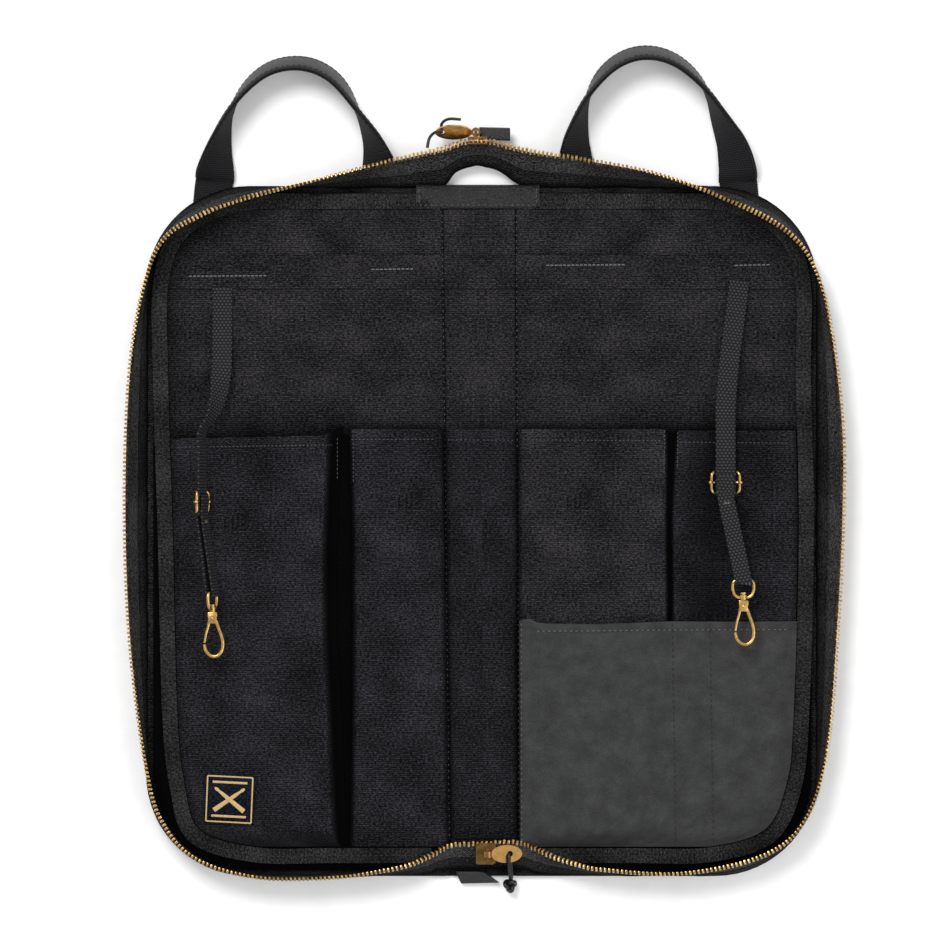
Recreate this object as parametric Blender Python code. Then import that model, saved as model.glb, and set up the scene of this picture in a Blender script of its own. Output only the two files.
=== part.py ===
"""Drum stick bag lying open on its back, handles towards +Y, right half towards +X.

The origin is the middle of the spine's outer face. Lengths below are in millimetres and
become metres when a mesh is made.
"""
import math

import bmesh
import bpy
import numpy as np
from mathutils import Matrix, Vector

MM = 0.001

# spine and fold lines
SPINE_HALF = 22.5
SPINE_TOP, SPINE_LOW = 225.0, -226.0
SPINE_THICK = 2.8
FOLD_X, FOLD_Z = 24.0, 3.1

# half panels
PANEL_IN, PANEL_OUT = 33.0, 222.5
PANEL_TOP, PANEL_LOW = 227.0, -230.0
PANEL_CORNER = 68.0
OUTER_Z = (1.6, 2.8)
PADDING_Z = (3.1, 5.1)
LINING_Z = (5.4, 6.0)
LINING_INSET = 5.0
BINDING_WIDTH, BINDING_Z = 10.0, (6.3, 7.5)

# zipped wall round each half
WALL_FROM = 60.0
WALL_FOOT, ZIP_Z = 3.1, 23.6
GUSSET_TOP, TAPE_FOOT, TAPE_TOP = 0.47, 0.49, 0.90
GUSSET_THICK, TAPE_THICK = 1.2, 0.8
CHAIN_RADIUS = 1.1
ZIP_LINE = {
    -1: [(60, 241.5), (106.9, 229.7), (159.7, 216.5), (186.1, 205.9), (209.2, 190.7),
         (221.8, 161), (231, 105), (234.3, 19), (231, -73), (219.8, -162),
         (207.9, -196), (186.1, -217.8), (146.5, -229), (93.7, -228.7), (60, -223.8)],
    1: [(60, 243.8), (117.5, 232.3), (170.3, 212.9), (203.3, 193.4), (220.4, 167.6),
        (229.7, 128), (236.9, 65.3), (237, 10), (233.6, -60), (226.4, -145.9),
        (211.9, -192), (183.5, -215.2), (130.7, -226.4), (77.9, -223.7), (60, -219.8)],
}

# pockets
POCKET_TOP, POCKET_LOW, SPINE_POCKET_LOW = 66.0, -210.0, -205.0
POCKET_THICK = 0.8
SEWN_Z = 7.1
CENTRE_Z = 11.4
BELLOWS = [(0, 7.1), (0.17, 9.1), (0.4, 11.2), (0.63, 15.5), (0.86, 20.4), (0.9, 21.6), (0.92, 21.8),
           (0.95, 16), (0.98, 9), (1.0, 7.1)]
LEATHER_TOP = -60.0

# handles and straps
HANDLE_WIDTH, STRAP_WIDTH, LOOP_WIDTH = 25.0, 13.0, 10.8
WEB_THICK = 1.3
HANDLE_Y = 250.4
HANDLE_ARCH = {
    -1: [(-173, 250.8), (-165.5, 274.6), (-154, 292), (-140, 303), (-123.4, 306.6),
         (-108, 303.5), (-95, 294), (-85, 278.5), (-76, 262), (-71, 250.8)],
    1: [(62, 250.8), (65, 266), (70.5, 284), (80.5, 300), (92.4, 309.5), (106.3, 313.5),
        (120.8, 311.5), (134.6, 303.5), (147.2, 289), (155.8, 271), (166, 250.8)],
}
HANDLE_LEGS = {-1: [(-180, -173), (-60, -71)], 1: [(63, 62), (171, 166)]}
LEG_FROM = 167.0
ARCH_TILT = math.radians(68)
GRIP_WIDTH = 14.0
WRAP_SPAN = (13, 32)

# strap hardware: the swivel's top and the slide's centre on each side
HOOK_AT = {-1: (-177.3, -54.8, 21.8), 1: (171.8, -46.9, 21.8)}
SLIDE_AT = {-1: (-184.0, 18.0, 21.3), 1: (160.6, 30.7, 15.5)}
STRAP_TILT = {-1: math.radians(70), 1: 0.0}
STRAP_ANCHOR = {-1: (-171.6, 159.5, 7.2), 1: (170.3, 164.0, 7.2)}
SLIDE_SIZE = (21.0, 16.5)
RING_WIDE, RING_HIGH, RING_WIRE = 16.4, 13.2, 1.2
HOOK_WIRE = 1.3

# zip pulls
TOP_PIVOT, LOW_PIVOT = (-4.0, 261.6, 15.0), (3.5, -214.5, 15.2)

scene = bpy.context.scene
for old in list(bpy.data.objects):
    bpy.data.objects.remove(old)
scene.unit_settings.system = "METRIC"
scene.unit_settings.length_unit = "METERS"


def material(name, colour, rough, metal=0.0):
    made = bpy.data.materials.new(name)
    made.use_nodes = True
    shader = made.node_tree.nodes["Principled BSDF"]
    shader.inputs["Base Color"].default_value = (*colour, 1)
    shader.inputs["Roughness"].default_value = rough
    shader.inputs["Metallic"].default_value = metal
    made.diffuse_color = (*colour, 1)
    return made


CANVAS = material("black_canvas", (0.016, 0.015, 0.017), 0.9)
LINING = material("lining_canvas", (0.022, 0.020, 0.024), 0.9)
FOAM = material("padding_foam", (0.05, 0.05, 0.05), 0.95)
BINDING = material("binding_tape", (0.035, 0.042, 0.036), 0.85)
WEBBING = material("webbing", (0.02, 0.02, 0.021), 0.85)
LEATHER = material("black_leather", (0.03, 0.031, 0.03), 0.65)
ZIP_TAPE = material("zip_tape", (0.015, 0.015, 0.016), 0.9)
BRASS = material("brass", (0.72, 0.5, 0.22), 0.3, 1.0)
ANTIQUE = material("antique_brass", (0.3, 0.2, 0.09), 0.4, 1.0)
BADGE = material("badge_cloth", (0.02, 0.024, 0.04), 0.8)


def joint(name, at):
    """An empty on a joint's axis, which the pieces of one moving body hang from."""
    made = bpy.data.objects.new(name, None)
    made.location = Vector(at) * MM
    made.empty_display_size = 0.02
    scene.collection.objects.link(made)
    return made


def add(name, shape, mat, body=None):
    """One solid from its points and faces."""
    points, faces = shape
    form = bmesh.new()
    corners = [form.verts.new(Vector(p) * MM) for p in points]
    for face in faces:
        form.faces.new([corners[i] for i in face])
    bmesh.ops.recalc_face_normals(form, faces=form.faces)
    mesh = bpy.data.meshes.new(name)
    form.to_mesh(mesh)
    form.free()
    made = bpy.data.objects.new(name, mesh)
    scene.collection.objects.link(made)
    mesh.materials.append(mat)
    if body:
        made.parent = body
        made.matrix_parent_inverse = Matrix.Translation(body.location).inverted()
    return made


def union(name, shapes, mat, body=None):
    """One solid from several that overlap."""
    made = add(name, shapes[0], mat, body)
    for i, shape in enumerate(shapes[1:]):
        other = add(f"{name}_form_{i}", shape, mat)
        other.hide_render = True
        other.display_type = "WIRE"
        joined = made.modifiers.new(f"join_{i}", "BOOLEAN")
        joined.operation = "UNION"
        joined.solver = "EXACT"
        joined.object = other
    return made


def spaced(points, count):
    """Points at even steps along a line of points."""
    p = np.array(points, float)
    along = np.r_[0, np.cumsum(np.linalg.norm(np.diff(p, axis=0), axis=1))]
    at = np.linspace(0, along[-1], count)
    return np.stack([np.interp(at, along, p[:, k]) for k in range(p.shape[1])], axis=1)


def smooth(points, count):
    """Points at even steps along the soft curve through a few points."""
    p = np.array(points, float)
    p = np.vstack([2 * p[0] - p[1], p, 2 * p[-1] - p[-2]])
    fine = []
    for a, b, c, d in zip(p, p[1:], p[2:], p[3:]):
        for t in np.linspace(0, 1, 10, endpoint=False):
            bend = (2 * a - 5 * b + 4 * c - d) * t * t + (3 * b - a - 3 * c + d) * t**3
            fine.append(0.5 * (2 * b + (c - a) * t + bend))
    return spaced(fine + [p[-2]], count)


def between(upper, lower):
    """The closed solid between two equal grids of points."""
    upper, lower = np.asarray(upper, float), np.asarray(lower, float)
    rows, cols = upper.shape[:2]
    top = np.arange(rows * cols).reshape(rows, cols)
    low = top + rows * cols
    faces = []
    for r in range(rows - 1):
        for c in range(cols - 1):
            faces.append((top[r, c], top[r, c + 1], top[r + 1, c + 1], top[r + 1, c]))
            faces.append((low[r, c], low[r + 1, c], low[r + 1, c + 1], low[r, c + 1]))
    rim = [*top[0, :-1], *top[:-1, -1], *top[-1, :0:-1], *top[:0:-1, 0]]
    shift = rows * cols
    for a, b in zip(rim, rim[1:] + rim[:1]):
        faces.append((a, a + shift, b + shift, b))
    return np.vstack([upper.reshape(-1, 3), lower.reshape(-1, 3)]), faces


def slab(outline, z0, z1):
    """A flat outline with thickness."""
    n = len(outline)
    points = [(x, y, z) for z in (z0, z1) for x, y in outline]
    faces = [tuple(range(n)), tuple(range(n, 2 * n))]
    faces += [(i, (i + 1) % n, n + (i + 1) % n, n + i) for i in range(n)]
    return points, faces


def box(x0, x1, y0, y1, z0, z1):
    return slab([(x0, y0), (x1, y0), (x1, y1), (x0, y1)], z0, z1)


def moved(shape, matrix):
    return [matrix @ Vector(p) for p in shape[0]], shape[1]


def sweep(path, side, profile, hollow=None, ring=False):
    """A profile carried along a path, or one profile for each point of it.

    side is the direction of the profile's first axis.
    """
    p = np.asarray(path, float)
    n = len(p)
    if ring:
        along = np.roll(p, -1, axis=0) - np.roll(p, 1, axis=0)
    else:
        along = np.gradient(p, axis=0)
    along /= np.linalg.norm(along, axis=1)[:, None]
    side = np.broadcast_to(np.asarray(side, float), p.shape)
    side = side - (side * along).sum(axis=1)[:, None] * along
    side /= np.linalg.norm(side, axis=1)[:, None]
    up = np.cross(along, side)
    loops = [profile] if hollow is None else [profile, hollow]
    loops = [np.broadcast_to(np.asarray(loop, float), (n, *np.shape(loop)[-2:])) for loop in loops]
    points, faces = [], []
    m = loops[0].shape[1]
    for loop in loops:
        start = len(points)
        for i in range(n):
            points += [p[i] + a * side[i] + b * up[i] for a, b in loop[i]]
        for i in range(n if ring else n - 1):
            for j in range(m):
                here, there = start + i * m, start + (i + 1) % n * m
                k = (j + 1) % m
                faces.append((here + j, here + k, there + k, there + j))
    for end in [] if ring else [0, (n - 1) * m]:
        if hollow is None:
            faces.append(tuple(range(end, end + m)))
            continue
        for j in range(m):
            k = (j + 1) % m
            faces.append((end + j, end + k, n * m + end + k, n * m + end + j))
    return points, faces


def round_profile(radius, sides=8):
    turns = [2 * math.pi * (i + 0.5) / sides for i in range(sides)]
    return [(radius * math.cos(a), radius * math.sin(a)) for a in turns]


def flat_profile(width, thick, soft=0.0):
    w, t = width / 2, thick / 2
    if not soft:
        return [(-w, -t), (w, -t), (w, t), (-w, t)]
    return [(-w + soft, -t), (w - soft, -t), (w, -t + soft), (w, t - soft),
            (w - soft, t), (-w + soft, t), (-w, t - soft), (-w, -t + soft)]


def panel_edge(side, inset, start, corner_steps=8):
    """A half panel's three free sides, from its top inner corner round to the bottom one."""
    out, top, low = PANEL_OUT - inset, PANEL_TOP - inset, PANEL_LOW + inset
    r = PANEL_CORNER - inset
    points = [(start, top)]
    for centre_y, first in ((top - r, 90), (low + r, 0)):
        for i in range(corner_steps + 1):
            a = math.radians(first - 90 * i / corner_steps)
            points.append((out - r + r * math.cos(a), centre_y + r * math.sin(a)))
    return [(side * x, y) for x, y in points + [(start, low)]]


def band(path, width):
    """The outline of a flat band that follows a path of X, Y points."""
    p = np.asarray(path, float)
    along = np.gradient(p, axis=0)
    along /= np.linalg.norm(along, axis=1)[:, None]
    across = np.stack([-along[:, 1], along[:, 0]], axis=1) * width / 2
    return [tuple(q) for q in np.vstack([p + across, (p - across)[::-1]])]


def wall(side, low, high, thick, steps=3, count=44):
    """Part of the zipped wall, between two shares of the way from its foot to the zip."""
    foot = spaced(panel_edge(side, 1.4, WALL_FROM), count)
    top = spaced([(side * x, y) for x, y in smooth(ZIP_LINE[side], 90)], count)
    along = np.gradient(foot, axis=0)
    along /= np.linalg.norm(along, axis=1)[:, None]
    out = np.stack([-along[:, 1], along[:, 0], 0 * along[:, 0]], axis=1) * thick / 2
    rows = []
    for share in np.linspace(low, high, steps):
        flat = foot + (top - foot) * share
        z = np.full((count, 1), WALL_FOOT + (ZIP_Z - WALL_FOOT) * share)
        rows.append(np.hstack([flat, z]))
    rows = np.array(rows)
    return between(rows + out, rows - out)


def zip_chain(side, count=60):
    path = spaced([(side * x, y) for x, y in smooth(ZIP_LINE[side], 90)], count)
    path = np.hstack([path, np.full((count, 1), ZIP_Z)])
    return sweep(path, (0, 0, 1), round_profile(CHAIN_RADIUS, 6))


def sheet(left, right, low, top, across, sewn=SEWN_Z, thick=POCKET_THICK, rows=14, rise=14.0):
    """A pocket front. left and right list (y, x) of its edges; across lists (share, height)."""
    ys = np.concatenate([np.linspace(low, low + rise, 4), np.linspace(low + rise, top, rows)[1:]])
    shares, heights = np.array(across, float).T
    grid = []
    for y in ys:
        x0 = np.interp(y, *np.array(sorted(left), float).T)
        x1 = np.interp(y, *np.array(sorted(right), float).T)
        lift = math.sin(min(1.0, (y - low) / rise) * math.pi / 2)
        z = sewn + (heights - sewn) * lift
        grid.append(np.stack([x0 + (x1 - x0) * shares, np.full(len(shares), y), z], axis=1))
    grid = np.array(grid)
    return between(grid, grid - (0, 0, thick))


# ---- spine ---------------------------------------------------------------------------
def build_spine():
    add("spine_outer", box(-SPINE_HALF, SPINE_HALF, SPINE_LOW, SPINE_TOP, 0, SPINE_THICK), CANVAS)
    add("spine_lining", box(-22.2, 22.2, SPINE_LOW + 1, SPINE_TOP - 0.5, 3.1, 4.2), LINING)
    arch = [(0, 5.3), (0.1, 7.4), (0.2, 9.5), (0.5, 9.9), (0.8, 9.5), (0.9, 7.4), (1, 5.3)]
    edge = [(SPINE_POCKET_LOW, 22.0), (POCKET_TOP, 22.0)]
    back = [(y, -x) for y, x in edge]
    add("spine_pocket", sheet(back, edge, SPINE_POCKET_LOW, POCKET_TOP, arch, 5.3), LINING)
    wrap = [(213, 4.5), (225.3, 4.5), (225.3, 0.3), (226.5, 0.3), (226.5, 5.6), (213, 5.6)]
    grid = [[(x, y, z) for y, z in wrap] for x in (-22.0, 22.0)]
    n = len(wrap)
    points = [p for row in grid for p in row]
    faces = [tuple(range(n)), tuple(range(n, 2 * n))]
    faces += [(i, (i + 1) % n, n + (i + 1) % n, n + i) for i in range(n)]
    add("spine_top_binding", (points, faces), LEATHER)
    for side, name in ((-1, "left"), (1, "right")):
        x0, x1 = sorted((side * (SPINE_HALF + 0.3), side * (PANEL_IN - 0.3)))
        add(f"{name}_fold", box(x0, x1, -224, 222, 1.6, 2.8), CANVAS)


def bridge(rows, thick):
    """A strip of tape that spans the spine; each row is a path of X, Y, Z points."""
    rows = np.array([smooth(row, 34) for row in rows])
    across = np.gradient(rows, axis=0)
    along = np.gradient(rows, axis=1)
    out = np.cross(along, across)
    out /= np.linalg.norm(out, axis=2)[:, :, None]
    return between(rows + out * thick / 2, rows - out * thick / 2)


def build_bridges():
    top_zip = [(-59.6, 241.6, 23.6), (-40, 246.5, 22), (-24, 250.5, 18.5), (-10.6, 255.3, 16),
               (-2.6, 255.6, 16), (5.3, 255.3, 16), (24, 250.3, 18.5), (40, 246.8, 22), (59.6, 243.9, 23.6)]
    low_edge = [(-59.6, 226, 3.6), (-40, 226, 3.6), (-25, 227, 4.6), (-17, 235.6, 8.5),
                (-5, 239.6, 10), (1, 239.2, 10), (11.2, 236.3, 8.5), (25, 227.6, 4.6), (59.6, 226, 3.6)]
    drop = np.array((0, -3.0, -2.0))
    top_row = [tuple(np.array(p) + drop) for p in top_zip]
    mid_row = [tuple((np.array(a) + b) / 2) for a, b in zip(top_row, low_edge)]
    add("top_bridge_tape", bridge([low_edge, mid_row, top_row], TAPE_THICK), ZIP_TAPE)
    path = smooth(top_zip, 60)
    add("top_bridge_chain", sweep(path, (0, 1, 0), round_profile(CHAIN_RADIUS, 6)), BRASS)

    low_zip = [(-59.6, -224, 23.6), (-46, -220.5, 21.5), (-31, -213.8, 14), (-21, -209, 9.3),
               (-8, -208, 9.2), (4, -208, 9.2), (16, -206.9, 9.2), (26, -207.6, 9.2),
               (33, -209.8, 14), (40, -212.6, 18.5), (48, -216, 21), (59.6, -219.9, 23.6)]
    top_row = [(x, y - 1.0, z - 2.8) for x, y, z in low_zip]
    foot = [(x, -227.6 if abs(x) > 30 else -225.0, 3.8 if abs(x) > 30 else 4.8)
            for x, y, z in low_zip]
    mid_row = [(a[0], a[1] * s + b[1] * (1 - s), (a[2] + b[2]) / 2)
               for a, b in zip(top_row, foot) for s in [0.2 if abs(a[0]) > 30 else 0.35]]
    add("bottom_bridge_tape", bridge([foot, mid_row, top_row], TAPE_THICK), ZIP_TAPE)
    path = smooth(low_zip, 60)
    add("bottom_bridge_chain", sweep(path, (0, 1, 0), round_profile(CHAIN_RADIUS, 6)), BRASS)


def slider(name, turn, at):
    """A zip slider: two plates, the post between them and the bridge its pull hangs on.

    Drawn with its plates level and then turned; the pull's bar is centred on the origin.
    """
    plate = [(-7.5, -6.5), (-5.5, -7), (3.5, -7), (5.5, -6.0), (5.5, 6.0), (3.5, 7), (-5.5, 7), (-7.5, 6.5)]
    shapes = [
        slab(plate, -4.6, -3.5),
        slab(plate, -8.3, -7.5),
        box(-2.6, -0.8, -5, -2.5, -7.8, -4.0),
        box(-1.15, 1.15, -4.6, -3.1, -4.0, 1.15),
        box(-1.15, 1.15, 3.1, 4.6, -4.0, 1.15),
        box(-1, 1, -3.5, 3.5, -1, 1),
    ]
    matrix = Matrix.Translation(Vector(at)) @ turn
    union(name, [moved(shape, matrix) for shape in shapes], ANTIQUE)


def ring_shape(inner, outer, half_height, sides=16):
    turns = [2 * math.pi * i / sides for i in range(sides)]
    middle = (inner + outer) / 2
    path = [(middle * math.cos(a), middle * math.sin(a), 0) for a in turns]
    profile = flat_profile(2 * half_height, outer - inner)
    return sweep(path, (0, 0, 1), profile, ring=True)


def plate_with_hole(length, width, hole_x, hole_r, thick):
    """An oval plate from X = 2.4 with a round hole, as one closed shell."""
    n = 24
    turns = [2 * math.pi * i / n for i in range(n)]
    outer = [(2.4 + length / 2 * (1 + math.cos(a)), width / 2 * math.sin(a)) for a in turns]
    inner = [(hole_x + hole_r * math.cos(a), hole_r * math.sin(a)) for a in turns]
    points = [(x, y, z) for z in (-thick / 2, thick / 2) for loop in (outer, inner) for x, y in loop]
    faces = []
    for i in range(n):
        k = (i + 1) % n
        faces.append((i, k, n + k, n + i))
        faces.append((2 * n + i, 2 * n + k, 3 * n + k, 3 * n + i))
        faces.append((i, k, 2 * n + k, 2 * n + i))
        faces.append((n + i, n + k, 3 * n + k, 3 * n + i))
    return points, faces


def pull(name, length, width, hole_x, roll, turn, at, body):
    """A zip pull: an eye round the slider's bar, and an oval tab with a hole at its far end."""
    tab = moved(plate_with_hole(length, width, hole_x, 1.9, 1.5), Matrix.Rotation(roll, 4, "X"))
    eye = ring_shape(1.65, 3.0, 2.0)
    matrix = Matrix.Translation(Vector(at)) @ turn
    union(name, [moved(eye, matrix), moved(tab, matrix)], ANTIQUE, body)


def build_zip_ends():
    level = Matrix.Identity(4)
    upright = Matrix.Rotation(math.radians(-90), 4, "X") @ Matrix.Rotation(math.pi, 4, "Z")
    slider("bottom_slider", level, LOW_PIVOT)
    slider("top_slider", upright, TOP_PIVOT)

    low = joint("bottom_pull", LOW_PIVOT)
    tilt = Matrix.Rotation(math.radians(16.5), 4, "Y") @ Matrix.Rotation(math.radians(90), 4, "X")
    pull("bottom_pull_tab", 21.5, 11.8, 15.5, math.radians(90), tilt, LOW_PIVOT, low)
    path = smooth([(18.0, -214.5, 10.6), (18.0, -215.2, 12.9), (17.9, -218, 13.9),
                   (18.0, -223, 12.2), (18.5, -229, 8.0), (18.6, -233.5, 5.6)], 18)
    knot = moved(ball(5.0), Matrix.Translation((18.6, -236, 5.4)))
    union("bottom_lace", [sweep(path, (1, 0, 0), round_profile(1.1)), knot], LEATHER, low)

    top = joint("top_pull", TOP_PIVOT)
    back = Matrix.Rotation(math.pi, 4, "Z")
    pull("top_pull_tab", 24.5, 11.0, 22.5, math.radians(-40), back, TOP_PIVOT, top)
    path = smooth([(-36, 250.5, 24.6), (-34.5, 257, 24), (-31, 260.8, 22), (-26.9, 261.2, 19.4),
                   (-26.5, 261.6, 15), (-26.7, 262.4, 11.4), (-26.5, 267.5, 12), (-22, 270, 18),
                   (-14, 269.5, 21)], 30)
    add("top_lace", sweep(path, (1, 0.2, 0), round_profile(1.0)), LEATHER, top)

    tab = [(4.2, 257), (18.4, 257), (18.4, 265), (5.5, 265)]
    add("top_end_tab", slab(tab, 8.0, 9.6), LEATHER)
    tab = [(-17.5, -226.6), (-13.4, -235), (11.5, -234.4), (1.0, -227.0)]
    add("bottom_end_tab", slab(tab, 2.0, 3.6), LEATHER)


def ball(radius, rings=6, sides=10):
    points = [(0, 0, -radius), (0, 0, radius)]
    for i in range(1, rings):
        a = math.pi * i / rings
        for j in range(sides):
            b = 2 * math.pi * j / sides
            points.append((radius * math.sin(a) * math.cos(b), radius * math.sin(a) * math.sin(b),
                           -radius * math.cos(a)))
    faces = []
    for j in range(sides):
        k = (j + 1) % sides
        faces.append((0, 2 + k, 2 + j))
        faces.append((1, 2 + (rings - 2) * sides + j, 2 + (rings - 2) * sides + k))
        for i in range(rings - 2):
            a, b = 2 + i * sides, 2 + (i + 1) * sides
            faces.append((a + j, a + k, b + k, b + j))
    return points, faces


# ---- halves --------------------------------------------------------------------------
def binding_path(side):
    low_x = 206.5 if side < 0 else 211.5
    line = [(PANEL_IN + 0.3, 216.5), (100, 216.5), (160, 215), (197, 198), (212, 165), (212.5, 100),
            (low_x + 3, 0), (low_x, -120), (low_x - 5, -170), (190, -203), (150, -215.5), (100, -216),
            (PANEL_IN + 0.3, -216)]
    return smooth([(side * x, y) for x, y in line], 56)


def pocket_side(side, gap):
    """The (y, x) edge that a pocket keeps from the inside of the binding."""
    path = binding_path(side)
    along = np.gradient(path, axis=0)
    along /= np.linalg.norm(along, axis=1)[:, None]
    outward = side * np.stack([-along[:, 1], along[:, 0]], axis=1)
    path = path - outward * (BINDING_WIDTH / 2 + gap)
    return [(y, x) for x, y in path if POCKET_LOW - 1 < y < 75 and abs(x) > 120]


def build_half(side, name, body):
    add(f"{name}_outer_panel", slab(panel_edge(side, 0, PANEL_IN), *OUTER_Z), CANVAS, body)
    inner = panel_edge(side, LINING_INSET, PANEL_IN)
    add(f"{name}_padding", slab(panel_edge(side, LINING_INSET + 1.5, PANEL_IN + 1), *PADDING_Z), FOAM, body)
    add(f"{name}_lining", slab(inner, *LINING_Z), LINING, body)
    add(f"{name}_binding", slab(band(binding_path(side), BINDING_WIDTH), *BINDING_Z), BINDING, body)
    add(f"{name}_gusset", wall(side, 0.0, GUSSET_TOP, GUSSET_THICK), CANVAS, body)
    add(f"{name}_zip_tape", wall(side, TAPE_FOOT, TAPE_TOP, TAPE_THICK), ZIP_TAPE, body)
    add(f"{name}_zip_chain", zip_chain(side), BRASS, body)
    for which, (far, near) in zip(("a", "b"), HANDLE_LEGS[side]):
        w = HANDLE_WIDTH / 2
        leg = [(far - w, LEG_FROM), (far + w, LEG_FROM), (near + w, HANDLE_Y - 2.6), (near - w, HANDLE_Y - 2.6)]
        add(f"{name}_handle_leg_{which}", slab(leg, 0, WEB_THICK), WEBBING, body)


def build_left_pockets(body):
    left = pocket_side(-1, 0.5)
    right = [(-211, -89.5), (-180, -90.5), (-117, -93), (-65, -96), (-15, -96), (22, -94.5), (62, -92.5)]
    across = BELLOWS
    add("left_stick_pocket", sheet(left, right, POCKET_LOW, 62, across), LINING, body)
    left = [(-211, -87.6), (-100, -86), (0, -86), (66, -88.5)]
    right = [(-211, -PANEL_IN), (66, -PANEL_IN)]
    across = [(0, 7.1), (0.06, 9.5), (0.14, CENTRE_Z), (0.86, CENTRE_Z), (0.94, 9.5), (1, 7.1)]
    add("left_centre_pocket", sheet(left, right, POCKET_LOW, POCKET_TOP, across), LINING, body)

    turn = math.radians(2.5)
    grid = []
    for v in np.linspace(-16.5, 16.5, 5):
        row = []
        for u in np.linspace(-16.5, 16.5, 7):
            x = -166.8 + u * math.cos(turn) + v * math.sin(turn)
            y = -178.6 + v * math.cos(turn) - u * math.sin(turn)
            row.append((x, y, np.interp((x + 195.5) / 105, *np.array(BELLOWS).T) + 0.7))
        grid.append(row)
    grid = np.array(grid)
    add("left_patch", between(grid + (0, 0, 0.9), grid), BADGE, body)


def build_right_pockets(body):
    left = [(-211, PANEL_IN), (66, PANEL_IN)]
    right = [(-211, 125), (0, 122), (66, 122.5)]
    across = [(0, 7.1), (0.04, 9.5), (0.09, CENTRE_Z), (0.9, CENTRE_Z), (0.96, 9.5), (1, 7.1)]
    add("right_centre_pocket", sheet(left, right, POCKET_LOW, POCKET_TOP, across), LINING, body)
    left = [(-211, 127), (0, 127), (65, 128)]
    right = pocket_side(1, 0.8)
    across = [(0, 7.1), (0.04, 9.3), (0.1, 11.3), (0.68, 11.3), (0.84, 9.0), (1, 7.1)]
    add("right_stick_pocket", sheet(left, right, POCKET_LOW, 65, across), LINING, body)
    left = [(-211, PANEL_IN + 0.2), (LEATHER_TOP, PANEL_IN + 0.2)]
    right = pocket_side(1, 0.5)
    across = [(0, 8.9), (0.02, 11.2), (0.045, 13.1), (0.08, 13.8), (0.2, 17.6), (0.32, 18.6), (0.45, 16.8), (0.52, 13.6),
              (0.54, 13.3), (0.6, 13.6), (0.66, 13.5), (0.68, 13.3), (0.8, 13.5), (0.93, 12.5), (1, 9.2)]
    add("right_leather_pocket", sheet(left, right, POCKET_LOW, LEATHER_TOP, across, 8.9, 1.2), LEATHER, body)


# ---- handles -------------------------------------------------------------------------
def build_handle(side, name):
    body = joint(f"{name}_handle", (side * 120.0, HANDLE_Y, WEB_THICK / 2))
    flat = smooth(HANDLE_ARCH[side], 45)
    share = np.linspace(0, 1, len(flat))
    tilt = ARCH_TILT * np.clip(np.minimum(share, 1 - share) / 0.22, 0, 1)
    tilt = tilt * tilt * (3 * ARCH_TILT - 2 * tilt) / ARCH_TILT**2
    fold = tilt / ARCH_TILT
    width = HANDLE_WIDTH + (GRIP_WIDTH - HANDLE_WIDTH) * fold
    thick = WEB_THICK * (1 + fold)
    lift = (width / 2 + 1.5 * fold) * np.sin(tilt) + (thick / 2 + 1.5 * fold) * np.cos(tilt) + 0.02
    path = np.hstack([flat, lift[:, None]])
    along = np.gradient(flat, axis=0)
    along /= np.linalg.norm(along, axis=1)[:, None]
    out = np.stack([-along[:, 1], along[:, 0], 0 * along[:, 0]], axis=1)
    lean = out * np.cos(tilt)[:, None] + np.outer(np.sin(tilt), (0, 0, 1))
    web = [flat_profile(w, t) for w, t in zip(width, thick)]
    points, faces = sweep(path, lean, web)
    for i in [*range(4), *range(len(points) - 4, len(points))]:
        points[i][1] = HANDLE_Y + 0.4
    add(f"{name}_handle_web", (points, faces), WEBBING, body)
    a, b = WRAP_SPAN
    outer = [flat_profile(w + 2.8, t + 2.8, 1.1) for w, t in zip(width[a:b], thick[a:b])]
    inner = [flat_profile(w + 0.8, t + 0.8, 0.05) for w, t in zip(width[a:b], thick[a:b])]
    add(f"{name}_handle_wrap", sweep(path[a:b], lean[a:b], outer, inner), LEATHER, body)


# ---- straps with their hardware ------------------------------------------------------
def strap_direction(side):
    """The direction across a strap where it meets its hardware."""
    tilt = STRAP_TILT[side]
    return np.array((math.cos(tilt), 0.0, -math.sin(tilt)))


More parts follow.
